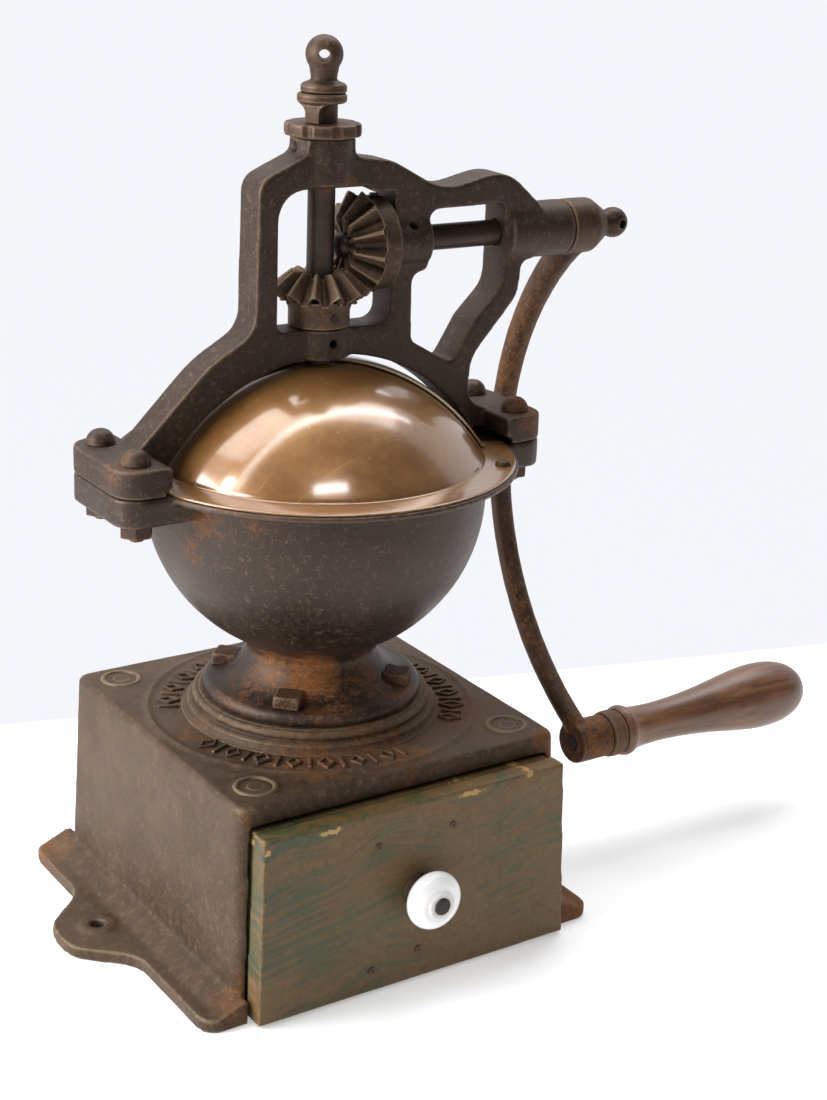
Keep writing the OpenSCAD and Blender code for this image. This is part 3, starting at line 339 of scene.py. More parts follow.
def new_material(name):
    material = bpy.data.materials.new(name)
    material.use_nodes = True
    tree = material.node_tree
    spot = add(tree, "ShaderNodeTexCoord").outputs["Object"]
    return material, tree, tree.nodes["Principled BSDF"], spot


def rust_mask(tree, spot, places, everywhere=0.0):
    """Mask of rust: given places (x, y, z, reach in mm, strength), broken into crusts and specks."""
    crust = add(
        tree, "ShaderNodeTexNoise", {"Scale": per_metre(7), "Detail": 9.0, "Roughness": 0.8, "Distortion": 0.3}, {"Vector": spot}
    ).outputs["Fac"]
    speck = add(
        tree, "ShaderNodeTexNoise", {"Scale": per_metre(1.7), "Detail": 5.0, "Roughness": 0.7}, {"Vector": spot}
    ).outputs["Fac"]
    grain = add(tree, "ShaderNodeMath", {"operation": "MULTIPLY_ADD", 1: 0.7}, {0: speck, 2: crust}).outputs["Value"]
    total = None
    for x, y, z, reach, strength in places:
        away = add(tree, "ShaderNodeVectorMath", {"operation": "DISTANCE", 1: (x * MM, y * MM, z * MM)}, {0: spot})
        near = add(
            tree,
            "ShaderNodeMapRange",
            {"interpolation_type": "SMOOTHSTEP", "From Min": reach * MM, "From Max": 0.15 * reach * MM, "To Min": everywhere, "To Max": strength},
            {"Value": away.outputs["Value"]},
        ).outputs["Result"]
        if total is None:
            total = near
        else:
            total = add(tree, "ShaderNodeMath", {"operation": "MAXIMUM"}, {0: total, 1: near}).outputs["Value"]
    raised = add(tree, "ShaderNodeMath", {"operation": "MULTIPLY_ADD", 1: 0.62}, {0: total, 2: grain}).outputs["Value"]
    return add(
        tree, "ShaderNodeMapRange", {"interpolation_type": "SMOOTHSTEP", "From Min": 0.98, "From Max": 1.36, "To Max": 0.9}, {"Value": raised}
    ).outputs["Result"]


def iron(
    name, ground, mottle, worn, rust_places, roughness=0.6, metal=0.1, edge=(0.2, 0.7), bump=0.12, rings=0.0, rust=("#42291A", "#8A5A30"),
    everywhere=0.1, sheen=0.0, dust="#7C6C5C",
):
    """Old iron under oil, dust and handling: brown skin, dust in the mottles, worn edges, inner corners darkened by
    grime and painted shade, and rust.
    """
    material, tree, shader, spot = new_material(name)
    relief = add(tree, "ShaderNodeAttribute", {"attribute_name": "relief"}).outputs["Fac"]
    broad = add(
        tree, "ShaderNodeTexNoise", {"Scale": per_metre(26), "Detail": 7.0, "Roughness": 0.66}, {"Vector": spot}
    ).outputs["Fac"]
    fine = add(
        tree, "ShaderNodeTexNoise", {"Scale": per_metre(3.2), "Detail": 8.0, "Roughness": 0.72}, {"Vector": spot}
    ).outputs["Fac"]
    grain = add(
        tree, "ShaderNodeTexNoise", {"Scale": per_metre(0.8), "Detail": 3.0, "Roughness": 0.6}, {"Vector": spot}
    ).outputs["Fac"]
    patch = add(
        tree, "ShaderNodeMapRange", {"interpolation_type": "SMOOTHSTEP", "From Min": 0.38, "From Max": 0.64}, {"Value": broad}
    ).outputs["Result"]
    skin = add(tree, "ShaderNodeMix", {"data_type": "RGBA", 6: linear(ground), 7: linear(mottle)}, {0: patch}).outputs[2]
    speckle = add(
        tree, "ShaderNodeMapRange", {"From Min": 0.25, "From Max": 0.75, "To Min": 0.6, "To Max": 1.42}, {"Value": fine}
    ).outputs["Result"]
    skin = add(
        tree, "ShaderNodeMix", {"data_type": "RGBA", "blend_type": "MULTIPLY", 0: 1.0}, {6: skin, 7: speckle}
    ).outputs[2]
    dusty = add(tree, "ShaderNodeMath", {"operation": "MULTIPLY_ADD", 1: 0.5}, {0: grain, 2: fine}).outputs["Value"]
    dust_mask = add(
        tree, "ShaderNodeMapRange", {"interpolation_type": "SMOOTHSTEP", "From Min": 0.8, "From Max": 1.0, "To Max": 0.4}, {"Value": dusty}
    ).outputs["Result"]
    skin = add(tree, "ShaderNodeMix", {"data_type": "RGBA", 7: linear(dust)}, {0: dust_mask, 6: skin}).outputs[2]
    edge_noise = add(
        tree, "ShaderNodeMath", {"operation": "MULTIPLY_ADD", 1: 0.7, 2: -0.35}, {0: fine}
    ).outputs["Value"]
    edge_value = add(tree, "ShaderNodeMath", {"operation": "ADD"}, {0: relief, 1: edge_noise}).outputs["Value"]
    edge_mask = add(
        tree,
        "ShaderNodeMapRange",
        {"interpolation_type": "SMOOTHSTEP", "From Min": edge[0], "From Max": edge[1], "To Max": 0.6},
        {"Value": edge_value},
    ).outputs["Result"]
    skin = add(tree, "ShaderNodeMix", {"data_type": "RGBA", 7: linear(worn)}, {0: edge_mask, 6: skin}).outputs[2]
    # Inner corners darkened towards near black: grime and painted shade
    corner_grime_and_shade_mask = add(
        tree,
        "ShaderNodeMapRange",
        {"interpolation_type": "SMOOTHSTEP", "From Min": -0.1, "From Max": -0.5, "To Max": 0.6},
        {"Value": edge_value},
    ).outputs["Result"]
    skin = add(tree, "ShaderNodeMix", {"data_type": "RGBA", 7: linear("#1D1612")}, {0: corner_grime_and_shade_mask, 6: skin}).outputs[2]
    rough = add(
        tree, "ShaderNodeMapRange", {"From Min": 0.3, "From Max": 0.7, "To Min": roughness - 0.12, "To Max": roughness + 0.12}, {"Value": fine}
    ).outputs["Result"]
    metallic = add(tree, "ShaderNodeMath", {"operation": "MULTIPLY_ADD", 1: 0.35, 2: metal}, {0: edge_mask}).outputs["Value"]
    height = add(tree, "ShaderNodeMath", {"operation": "MULTIPLY_ADD", 1: 0.5}, {0: grain, 2: fine}).outputs["Value"]
    crust = rust_mask(tree, spot, rust_places or [(0, 0, 0, 1, everywhere)], everywhere)
    rust_colour = add(
        tree, "ShaderNodeMix", {"data_type": "RGBA", 6: linear(rust[0]), 7: linear(rust[1])}, {0: grain}
    ).outputs[2]
    rust_colour = add(
        tree, "ShaderNodeMix", {"data_type": "RGBA", "blend_type": "MULTIPLY", 0: 1.0}, {6: rust_colour, 7: speckle}
    ).outputs[2]
    skin = add(tree, "ShaderNodeMix", {"data_type": "RGBA"}, {0: crust, 6: skin, 7: rust_colour}).outputs[2]
    rough = add(tree, "ShaderNodeMix", {3: 0.92}, {0: crust, 2: rough}).outputs[0]
    dull = add(tree, "ShaderNodeMath", {"operation": "SUBTRACT", 0: 1.0}, {1: crust}).outputs["Value"]
    metallic = add(tree, "ShaderNodeMath", {"operation": "MULTIPLY"}, {0: metallic, 1: dull}).outputs["Value"]
    height = add(tree, "ShaderNodeMath", {"operation": "MULTIPLY_ADD", 1: 0.6}, {0: crust, 2: height}).outputs["Value"]
    if rings:
        # Marks of the lathe: bands that run level round the bowl
        level = add(tree, "ShaderNodeMapping", {"Scale": (4.0, 4.0, per_metre(1.6))}, {"Vector": spot}).outputs["Vector"]
        band = add(tree, "ShaderNodeTexNoise", {"Scale": 1.0, "Detail": 4.0, "Roughness": 0.75}, {"Vector": level}).outputs["Fac"]
        height = add(tree, "ShaderNodeMath", {"operation": "MULTIPLY_ADD", 1: rings}, {0: band, 2: height}).outputs["Value"]
        stripe = add(
            tree, "ShaderNodeMapRange", {"From Min": 0.3, "From Max": 0.7, "To Min": 0.72, "To Max": 1.32}, {"Value": band}
        ).outputs["Result"]
        skin = add(
            tree, "ShaderNodeMix", {"data_type": "RGBA", "blend_type": "MULTIPLY", 0: 1.0}, {6: skin, 7: stripe}
        ).outputs[2]
    normal = add(tree, "ShaderNodeBump", {"Strength": 0.8, "Distance": bump * MM}, {"Height": height}).outputs["Normal"]
    shader.inputs["Coat Weight"].default_value = sheen
    shader.inputs["Coat Roughness"].default_value = 0.35
    shader.inputs["Specular Tint"].default_value = linear("#FFE0CE")
    for key, socket in (("Base Color", skin), ("Roughness", rough), ("Metallic", metallic), ("Normal", normal)):
        tree.links.new(socket, shader.inputs[key])
    return material


def tarnished_brass():
    """Spun sheet brass gone brown: a soft sheen, darker clouds, gold freckles and hair scratches."""
    material, tree, shader, spot = new_material("tarnished spun brass")
    relief = add(tree, "ShaderNodeAttribute", {"attribute_name": "relief"}).outputs["Fac"]
    cloud = add(tree, "ShaderNodeTexNoise", {"Scale": per_metre(45), "Detail": 5.0, "Roughness": 0.6, "Distortion": 0.6}, {"Vector": spot}).outputs["Fac"]
    fine = add(tree, "ShaderNodeTexNoise", {"Scale": per_metre(4), "Detail": 8.0, "Roughness": 0.7}, {"Vector": spot}).outputs["Fac"]
    patch = add(
        tree, "ShaderNodeMapRange", {"interpolation_type": "SMOOTHSTEP", "From Min": 0.35, "From Max": 0.68}, {"Value": cloud}
    ).outputs["Result"]
    skin = add(tree, "ShaderNodeMix", {"data_type": "RGBA", 6: linear("#855A30"), 7: linear("#9A6E3C")}, {0: patch}).outputs[2]
    speckle = add(
        tree, "ShaderNodeMapRange", {"From Min": 0.3, "From Max": 0.7, "To Min": 0.86, "To Max": 1.12}, {"Value": fine}
    ).outputs["Result"]
    skin = add(tree, "ShaderNodeMix", {"data_type": "RGBA", "blend_type": "MULTIPLY", 0: 1.0}, {6: skin, 7: speckle}).outputs[2]
    # Gold freckles where the brown skin has flaked, about 1 mm across
    freckle = add(tree, "ShaderNodeTexVoronoi", {"Scale": per_metre(9), "Randomness": 1.0}, {"Vector": spot}).outputs["Distance"]
    freckle_mask = add(tree, "ShaderNodeMapRange", {"From Min": 0.075, "From Max": 0.03, "To Max": 0.8}, {"Value": freckle}).outputs["Result"]
    skin = add(tree, "ShaderNodeMix", {"data_type": "RGBA", 7: linear("#C79A52")}, {0: freckle_mask, 6: skin}).outputs[2]
    # Hair scratches: long thin islands of a stretched noise, turned two ways
    scratch = None
    for turn, seed in ((0.6, 0.0), (-0.5, 3.0)):
        lines = add(
            tree,
            "ShaderNodeMapping",
            {"Rotation": (0.2, 0.3, turn), "Location": (seed, seed, seed), "Scale": (18.0, 620.0, 18.0)},
            {"Vector": spot},
        ).outputs["Vector"]
        hair = add(tree, "ShaderNodeTexNoise", {"Scale": 1.0, "Detail": 2.0}, {"Vector": lines}).outputs["Fac"]
        mask = add(tree, "ShaderNodeMapRange", {"From Min": 0.69, "From Max": 0.74, "To Max": 0.7}, {"Value": hair}).outputs["Result"]
        scratch = mask if scratch is None else add(tree, "ShaderNodeMath", {"operation": "MAXIMUM"}, {0: scratch, 1: mask}).outputs["Value"]
    skin = add(tree, "ShaderNodeMix", {"data_type": "RGBA", 7: linear("#B8935A")}, {0: scratch, 6: skin}).outputs[2]
    edge = add(tree, "ShaderNodeMapRange", {"From Min": 0.2, "From Max": 0.7, "To Max": 0.8}, {"Value": relief}).outputs["Result"]
    skin = add(tree, "ShaderNodeMix", {"data_type": "RGBA", 7: linear("#C9A468")}, {0: edge, 6: skin}).outputs[2]
    # Hollows darkened towards dark brown: grime and painted shade
    dirt = add(tree, "ShaderNodeMapRange", {"From Min": -0.15, "From Max": -0.6, "To Max": 0.85}, {"Value": relief}).outputs["Result"]
    skin = add(tree, "ShaderNodeMix", {"data_type": "RGBA", 7: linear("#2A1D12")}, {0: dirt, 6: skin}).outputs[2]
    rough = add(tree, "ShaderNodeMapRange", {"From Min": 0.3, "From Max": 0.7, "To Min": 0.28, "To Max": 0.36}, {"Value": cloud}).outputs["Result"]
    normal = add(tree, "ShaderNodeBump", {"Strength": 0.5, "Distance": 0.03 * MM}, {"Height": fine}).outputs["Normal"]
    shader.inputs["Metallic"].default_value = 0.35
    shader.inputs["Coat Weight"].default_value = 1.0
    shader.inputs["Coat IOR"].default_value = 1.8
    shader.inputs["Coat Roughness"].default_value = 0.13
    for key, socket in (("Base Color", skin), ("Roughness", rough), ("Normal", normal)):
        tree.links.new(socket, shader.inputs[key])
    return material


def varnished_walnut():
    """Turned hardwood under old varnish: long dark grain along the grip and a dull gloss."""
    material, tree, shader, spot = new_material("varnished walnut")
    long_way = add(
        tree, "ShaderNodeMapping", {"Scale": (per_metre(70), per_metre(3.0), per_metre(3.0))}, {"Vector": spot}
    ).outputs["Vector"]
    grain = add(tree, "ShaderNodeTexNoise", {"Scale": 1.0, "Detail": 7.0, "Roughness": 0.65, "Distortion": 0.8}, {"Vector": long_way}).outputs["Fac"]
    broad = add(tree, "ShaderNodeTexNoise", {"Scale": per_metre(40), "Detail": 3.0}, {"Vector": spot}).outputs["Fac"]
    streak = add(tree, "ShaderNodeMapRange", {"From Min": 0.3, "From Max": 0.7}, {"Value": grain}).outputs["Result"]
    skin = add(tree, "ShaderNodeMix", {"data_type": "RGBA", 6: linear("#4A2C19"), 7: linear("#8A5E3E")}, {0: streak}).outputs[2]
    cloud = add(tree, "ShaderNodeMapRange", {"From Min": 0.3, "From Max": 0.7, "To Min": 0.8, "To Max": 1.2}, {"Value": broad}).outputs["Result"]
    skin = add(tree, "ShaderNodeMix", {"data_type": "RGBA", "blend_type": "MULTIPLY", 0: 1.0}, {6: skin, 7: cloud}).outputs[2]
    rough = add(tree, "ShaderNodeMapRange", {"From Min": 0.3, "From Max": 0.7, "To Min": 0.34, "To Max": 0.5}, {"Value": grain}).outputs["Result"]
    normal = add(tree, "ShaderNodeBump", {"Strength": 0.4, "Distance": 0.08 * MM}, {"Height": grain}).outputs["Normal"]
    shader.inputs["Coat Weight"].default_value = 0.3
    shader.inputs["Coat Roughness"].default_value = 0.3
    for key, socket in (("Base Color", skin), ("Roughness", rough), ("Normal", normal)):
        tree.links.new(socket, shader.inputs[key])
    return material


def painted_board():
    """Softwood under thin green paint, rubbed through to brown along the grain, bluish low left, chipped to bare wood."""
    material, tree, shader, spot = new_material("worn green paint on wood")
    relief = add(tree, "ShaderNodeAttribute", {"attribute_name": "relief"}).outputs["Fac"]
    axes = add(tree, "ShaderNodeSeparateXYZ", {}, {"Vector": spot}).outputs
    # The grain runs along the board and bends up in arcs on its left half
    bow = add(tree, "ShaderNodeTexNoise", {"Scale": per_metre(75), "Detail": 1.0}, {"Vector": spot}).outputs["Fac"]
    bent = add(tree, "ShaderNodeMath", {"operation": "MULTIPLY_ADD", 1: 0.05}, {0: bow, 2: axes["Z"]}).outputs["Value"]
    bent = add(tree, "ShaderNodeMath", {"operation": "MULTIPLY_ADD", 1: -0.12}, {0: axes["X"], 2: bent}).outputs["Value"]
    bent_spot = add(tree, "ShaderNodeCombineXYZ", {}, {0: axes["X"], 1: axes["Y"], 2: bent}).outputs["Vector"]
    long_way = add(
        tree, "ShaderNodeMapping", {"Scale": (per_metre(70), per_metre(40), per_metre(2.4))}, {"Vector": bent_spot}
    ).outputs["Vector"]
    grain = add(tree, "ShaderNodeTexNoise", {"Scale": 1.0, "Detail": 8.0, "Roughness": 0.66}, {"Vector": long_way}).outputs["Fac"]
    hair_way = add(
        tree, "ShaderNodeMapping", {"Scale": (per_metre(16), per_metre(16), per_metre(0.7))}, {"Vector": bent_spot}
    ).outputs["Vector"]
    hair = add(tree, "ShaderNodeTexNoise", {"Scale": 1.0, "Detail": 4.0, "Roughness": 0.6}, {"Vector": hair_way}).outputs["Fac"]
    broad = add(tree, "ShaderNodeTexNoise", {"Scale": per_metre(34), "Detail": 5.0, "Roughness": 0.6}, {"Vector": spot}).outputs["Fac"]
    fine = add(tree, "ShaderNodeTexNoise", {"Scale": per_metre(3), "Detail": 6.0, "Roughness": 0.7}, {"Vector": spot}).outputs["Fac"]
    leftward = add(tree, "ShaderNodeMapRange", {"From Min": 0.03, "From Max": -0.085}, {"Value": axes["X"]}).outputs["Result"]
    green = add(tree, "ShaderNodeMix", {"data_type": "RGBA", 6: linear("#363C22"), 7: linear("#4E4E28")}, {0: hair}).outputs[2]
    blue_share = add(tree, "ShaderNodeMath", {"operation": "MULTIPLY"}, {0: leftward, 1: broad}).outputs["Value"]
    blue_mask = add(
        tree, "ShaderNodeMapRange", {"interpolation_type": "SMOOTHSTEP", "From Min": 0.22, "From Max": 0.6, "To Max": 0.8}, {"Value": blue_share}
    ).outputs["Result"]
    paint = add(tree, "ShaderNodeMix", {"data_type": "RGBA", 7: linear("#2F3A26")}, {0: blue_mask, 6: green}).outputs[2]
    wood = add(tree, "ShaderNodeMix", {"data_type": "RGBA", 6: linear("#573F22"), 7: linear("#7C5B30")}, {0: hair}).outputs[2]
    bare = add(tree, "ShaderNodeMath", {"operation": "MULTIPLY_ADD", 1: 0.7}, {0: broad, 2: grain}).outputs["Value"]
    bare = add(tree, "ShaderNodeMath", {"operation": "MULTIPLY_ADD", 1: -0.13}, {0: leftward, 2: bare}).outputs["Value"]
    bare_mask = add(
        tree, "ShaderNodeMapRange", {"interpolation_type": "SMOOTHSTEP", "From Min": 0.62, "From Max": 0.86, "To Max": 0.85}, {"Value": bare}
    ).outputs["Result"]
    skin = add(tree, "ShaderNodeMix", {"data_type": "RGBA"}, {0: bare_mask, 6: paint, 7: wood}).outputs[2]
    grime = add(tree, "ShaderNodeMapRange", {"From Min": 0.3, "From Max": 0.7, "To Min": 0.74, "To Max": 1.22}, {"Value": fine}).outputs["Result"]
    skin = add(tree, "ShaderNodeMix", {"data_type": "RGBA", "blend_type": "MULTIPLY", 0: 1.0}, {6: skin, 7: grime}).outputs[2]
    # Edges rubbed to tan wood, most of all up the front left edge
    edge_noise = add(tree, "ShaderNodeMath", {"operation": "MULTIPLY_ADD", 1: 1.0, 2: -0.62}, {0: fine}).outputs["Value"]
    edge = add(tree, "ShaderNodeMath", {"operation": "ADD"}, {0: relief, 1: edge_noise}).outputs["Value"]
    edge = add(tree, "ShaderNodeMath", {"operation": "MULTIPLY_ADD", 1: 0.08}, {0: leftward, 2: edge}).outputs["Value"]
    rub = add(tree, "ShaderNodeMapRange", {"From Min": 0.34, "From Max": 0.62, "To Max": 0.7}, {"Value": edge}).outputs["Result"]
    skin = add(tree, "ShaderNodeMix", {"data_type": "RGBA", 7: linear("#7E6238")}, {0: rub, 6: skin}).outputs[2]
    # Chips of bare wood on the front top edge: place and half length in mm
    chips = None
    for x, z, long in ((-48, 86.5, 9), (28, 87.5, 11), (60, 89, 4), (-78, 84, 2.5)):
        away = add(tree, "ShaderNodeVectorMath", {"operation": "SUBTRACT", 1: (x * MM, 0.0, z * MM)}, {0: spot}).outputs["Vector"]
        flat = add(tree, "ShaderNodeVectorMath", {"operation": "MULTIPLY", 1: (1000 / long, 0.0, 1000 / 2.0)}, {0: away}).outputs["Vector"]
        reach = add(tree, "ShaderNodeVectorMath", {"operation": "LENGTH"}, {0: flat}).outputs["Value"]
        ragged = add(tree, "ShaderNodeMath", {"operation": "MULTIPLY_ADD", 1: 2.6}, {0: fine, 2: reach}).outputs["Value"]
        chip = add(tree, "ShaderNodeMapRange", {"From Min": 1.95, "From Max": 1.8}, {"Value": ragged}).outputs["Result"]
        chips = chip if chips is None else add(tree, "ShaderNodeMath", {"operation": "MAXIMUM"}, {0: chips, 1: chip}).outputs["Value"]
    skin = add(tree, "ShaderNodeMix", {"data_type": "RGBA", 7: linear("#B08A50")}, {0: chips, 6: skin}).outputs[2]
    rough = add(tree, "ShaderNodeMapRange", {"From Min": 0.3, "From Max": 0.7, "To Min": 0.46, "To Max": 0.68}, {"Value": grain}).outputs["Result"]
    height = add(tree, "ShaderNodeMath", {"operation": "MULTIPLY_ADD", 1: 0.8}, {0: hair, 2: grain}).outputs["Value"]
    height = add(tree, "ShaderNodeMath", {"operation": "MULTIPLY_ADD", 1: -0.8}, {0: chips, 2: height}).outputs["Value"]
    normal = add(tree, "ShaderNodeBump", {"Strength": 0.7, "Distance": 0.15 * MM}, {"Height": height}).outputs["Normal"]
    for key, socket in (("Base Color", skin), ("Roughness", rough), ("Normal", normal)):
        tree.links.new(socket, shader.inputs[key])
    return material


def glazed_porcelain():
    """White glazed porcelain: a wet gloss, with brown dirt drawn in round the screw."""
    material, tree, shader, spot = new_material("glazed porcelain")
    centre = (0.0, -0.1185 - 0.0, KNOB_Z * MM)
    fine = add(tree, "ShaderNodeTexNoise", {"Scale": per_metre(5), "Detail": 6.0, "Roughness": 0.7}, {"Vector": spot}).outputs["Fac"]
    away = add(tree, "ShaderNodeVectorMath", {"operation": "DISTANCE", 1: centre}, {0: spot}).outputs["Value"]
    near = add(tree, "ShaderNodeMapRange", {"From Min": 9.5 * MM, "From Max": 4.0 * MM}, {"Value": away}).outputs["Result"]
    dirt = add(tree, "ShaderNodeMath", {"operation": "MULTIPLY"}, {0: near, 1: fine}).outputs["Value"]
    skin = add(tree, "ShaderNodeMix", {"data_type": "RGBA", 6: linear("#FFFFFF"), 7: linear("#8A745A")}, {0: dirt}).outputs[2]
    shader.inputs["Roughness"].default_value = 0.12
    shader.inputs["Coat Weight"].default_value = 0.6
    shader.inputs["Coat Roughness"].default_value = 0.05
    tree.links.new(skin, shader.inputs["Base Color"])
    return material


def aged_steel(name, dark, light, rust_places=(), roughness=0.45, metal=0.7):
    """Turned or rolled steel gone brown or grey with age, with faint lines from the tool."""
    material, tree, shader, spot = new_material(name)
    fine = add(tree, "ShaderNodeTexNoise", {"Scale": per_metre(3), "Detail": 7.0, "Roughness": 0.7}, {"Vector": spot}).outputs["Fac"]
    broad = add(tree, "ShaderNodeTexNoise", {"Scale": per_metre(22), "Detail": 4.0}, {"Vector": spot}).outputs["Fac"]
    both = add(tree, "ShaderNodeMath", {"operation": "MULTIPLY_ADD", 1: 0.5}, {0: fine, 2: broad}).outputs["Value"]
    share = add(tree, "ShaderNodeMapRange", {"From Min": 0.5, "From Max": 1.0}, {"Value": both}).outputs["Result"]
    skin = add(tree, "ShaderNodeMix", {"data_type": "RGBA", 6: linear(dark), 7: linear(light)}, {0: share}).outputs[2]
    rough = add(tree, "ShaderNodeMapRange", {"From Min": 0.3, "From Max": 0.7, "To Min": roughness - 0.08, "To Max": roughness + 0.1}, {"Value": fine}).outputs["Result"]
    if rust_places:
        rust = rust_mask(tree, spot, rust_places)
        skin = add(tree, "ShaderNodeMix", {"data_type": "RGBA", 7: linear("#8A5426")}, {0: rust, 6: skin}).outputs[2]
        rough = add(tree, "ShaderNodeMix", {3: 0.9}, {0: rust, 2: rough}).outputs[0]
    shader.inputs["Metallic"].default_value = metal
    normal = add(tree, "ShaderNodeBump", {"Strength": 0.4, "Distance": 0.05 * MM}, {"Height": fine}).outputs["Normal"]
    for key, socket in (("Base Color", skin), ("Roughness", rough), ("Normal", normal)):
        tree.links.new(socket, shader.inputs[key])
    return material


# Cast iron of the base: brown, dusty, with rust low on the front left corner, on the lip and in the deck's field
base_iron = iron(
    "worn cast iron, base",
    "#3A2D20",
    "#48392B",
    "#82725C",
    [
        (-86, -90, 10, 22, 0.48),
        (-84, -88, 96, 9, 0.7),
        (84, -88, 94, 24, 0.7),
        (60, -40, 101, 30, 0.5),
        (-34, -58, 101, 34, 0.5),
        (6, -68, 101, 34, 0.5),
        (-70, -4, 101, 26, 0.4),
        (52, -44, 101, 36, 0.52),
        (66, -6, 101, 30, 0.42),
        (0, -54, 105, 30, 0.42),
        (-104, 88, 6, 26, 0.5),
        (100, -88, 5, 30, 0.7),
    ],
    everywhere=0.16,
)
bowl_iron = iron(
    "dark turned cast iron, bowl",
    "#170F0C",
    "#241A15",
    "#5E4C3E",
    [
        (-16, -28, 128, 22, 0.78),
        (-30, -14, 129, 20, 0.62),
        (8, -32, 124, 22, 0.5),
        (-16, -44, 118, 22, 0.42),
        (24, -42, 118, 26, 0.45),
        (-44, -10, 118, 22, 0.42),
        (-74, -30, 212, 16, 0.5),
        (-76, -22, 198, 16, 0.4),
        (-60, -52, 216, 12, 0.42),
    ],
    roughness=0.5,
    rings=0.5,
    sheen=0.15,
    rust=("#4E2E18", "#98602C"),
)
bridge_iron = iron(
    "brown cast iron, bridge",
    "#1A110D",
    "#2A1E18",
    "#6E5B4A",
    [
        (-108, -16, 238, 16, 0.42),
        (104, -18, 236, 22, 0.75),
        (0, -16, 262, 16, 0.5),
        (10, -14, 350, 12, 0.5),
        (134, 0, 334, 8, 0.8),
    ],
    roughness=0.56,
    sheen=0.05,
)
rusty_iron = iron(
    "rusted forged iron",
    "#2C1D14",
    "#3E2B1D",
    "#75604A",
    [(141, 40, 250, 90, 0.42), (141, 10, 120, 80, 0.36), (147, GRIP_Y, GRIP_Z, 26, 0.7), (0, 0, 116, 60, 0.5)],
    roughness=0.52,
    rust=("#5A3418", "#9A6230"),
)
dark_iron = iron("handled iron, dark", "#2A1D16", "#3C2C22", "#6E5A48", [(0, 0, 371, 22, 0.45)], roughness=0.46, metal=0.3)
gear_iron = iron(
    "oiled cast iron, gears", "#2A201A", "#40332A", "#7C6A54", [], roughness=0.5, metal=0.25, edge=(0.35, 1.1), everywhere=0.25
)
# Lighter copy of the gear iron for the lower gear: dust, plus painted light for its brighter faces
dusty_and_lit_gear_iron = iron(
    "dusty cast iron with painted light, lower gear", "#3E3026", "#5E4C3C", "#8E7A60", [], roughness=0.6, metal=0.15, edge=(0.35, 1.1), everywhere=0.25
)
bolt_iron = iron(
    "rusted forged iron, foot bolts", "#33231A", "#4A3323", "#75604A", [(0, 0, 116, 70, 0.55)], roughness=0.66, rust=("#4A2A16", "#8E5428")
)
ring_iron = iron(
    "rusted iron ring", "#4A382C", "#5E4634", "#8A745E", [(161, GRIP_Y, GRIP_Z, 40, 0.4)], roughness=0.6, rust=("#5A3620", "#8A5C38")
)
stud_iron = aged_steel("blackened screw head", "#2E2824", "#4A4038", roughness=0.6, metal=0.3)
brass = tarnished_brass()
walnut = varnished_walnut()
board_paint = painted_board()
porcelain = glazed_porcelain()
shaft_steel = aged_steel("brown turned steel, shafts", "#2C2320", "#4C3D35", [(-2, -6, 353, 11, 0.62), (0, -4, 300, 12, 0.4)])
burr_steel = aged_steel("hard white iron, burrs", "#4A4642", "#6E6962", [(0, 0, 110, 26, 0.35)], roughness=0.5)
tray_steel = aged_steel("tinned sheet steel, tray", "#6E6C68", "#97948E", [(-70, 60, 12, 40, 0.45), (70, -60, 12, 30, 0.4)], roughness=0.42)


# Pieces

main_bore = ((0, 0, 0), (0, 0, 1), 6.3)
crank_bore = ((0, 0, CRANK_Z), (1, 0, 0), 6.1)

SKINS = [
    # node, piece, voxel, rounds, wave, wave size, share kept, material
    ("base_casting", "cast_base", 1.0, 3, 0.14, 16.0, 0.38, base_iron),
    ("hopper_bolts", "foot_bolts", 0.5, 14, 0.45, 5.0, 1.0, bolt_iron),
    ("bridge_bolts", "lug_bolts", 0.5, 2, 0.05, 5.0, 1.0, bridge_iron),
    ("bridge_nuts", "lug_nuts", 0.5, 2, 0.04, 4.0, 1.0, dark_iron),
    ("clamp_screw", "ball_screw_top", 0.3, 3, 0.03, 6.0, 0.6, dark_iron),
    ("crank_screw", "ball_screw_crank", 0.3, 3, 0.03, 6.0, 0.6, dark_iron),
    ("crank_arm", "forged_arm", 0.7, 5, 0.12, 9.0, 1.0, rusty_iron),
    ("grinding_shaft", "upright_shaft", 0.7, 2, 0.0, 14.0, 1.0, shaft_steel),
    ("crank_shaft", "cross_shaft", 0.6, 2, 0.0, 14.0, 1.0, shaft_steel),
    ("drawer_front", "drawer_board", 0.8, 4, 0.12, 18.0, 0.6, board_paint),
    ("knob_collar", "knob_washer", 0.4, 2, 0.0, 14.0, 1.0, dark_iron),
    ("knob_screw", "knob_stud", 0.35, 2, 0.0, 14.0, 1.0, stud_iron),
    ("drawer_nails", "board_nails", 0.3, 1, 0.0, 14.0, 1.0, rusty_iron),
    ("cover_screws", "flange_screws", 0.3, 2, 0.0, 14.0, 1.0, dark_iron),
]
for node, piece, voxel, rounds, wave, wave_size, keep, material in SKINS:
    stand_in(softened(node, piece, voxel, rounds, wave, wave_size, keep=keep), node, piece, material)


def round_foot(points):
    """Rounds the rim of the hopper's foot."""
    reach = np.hypot(points[:, 0], points[:, 1])
    limit = 48.6 + 3.7 * np.sqrt(np.clip(1 - ((points[:, 2] - 112.6) / 4.0) ** 2, 0.0, 1.0))
    share = np.where((points[:, 2] < 117.5) & (reach > 46), np.minimum(1.0, limit / np.maximum(reach, 1)), 1.0)
    moved = points.copy()
    moved[:, :2] *= share[:, None]
    return moved


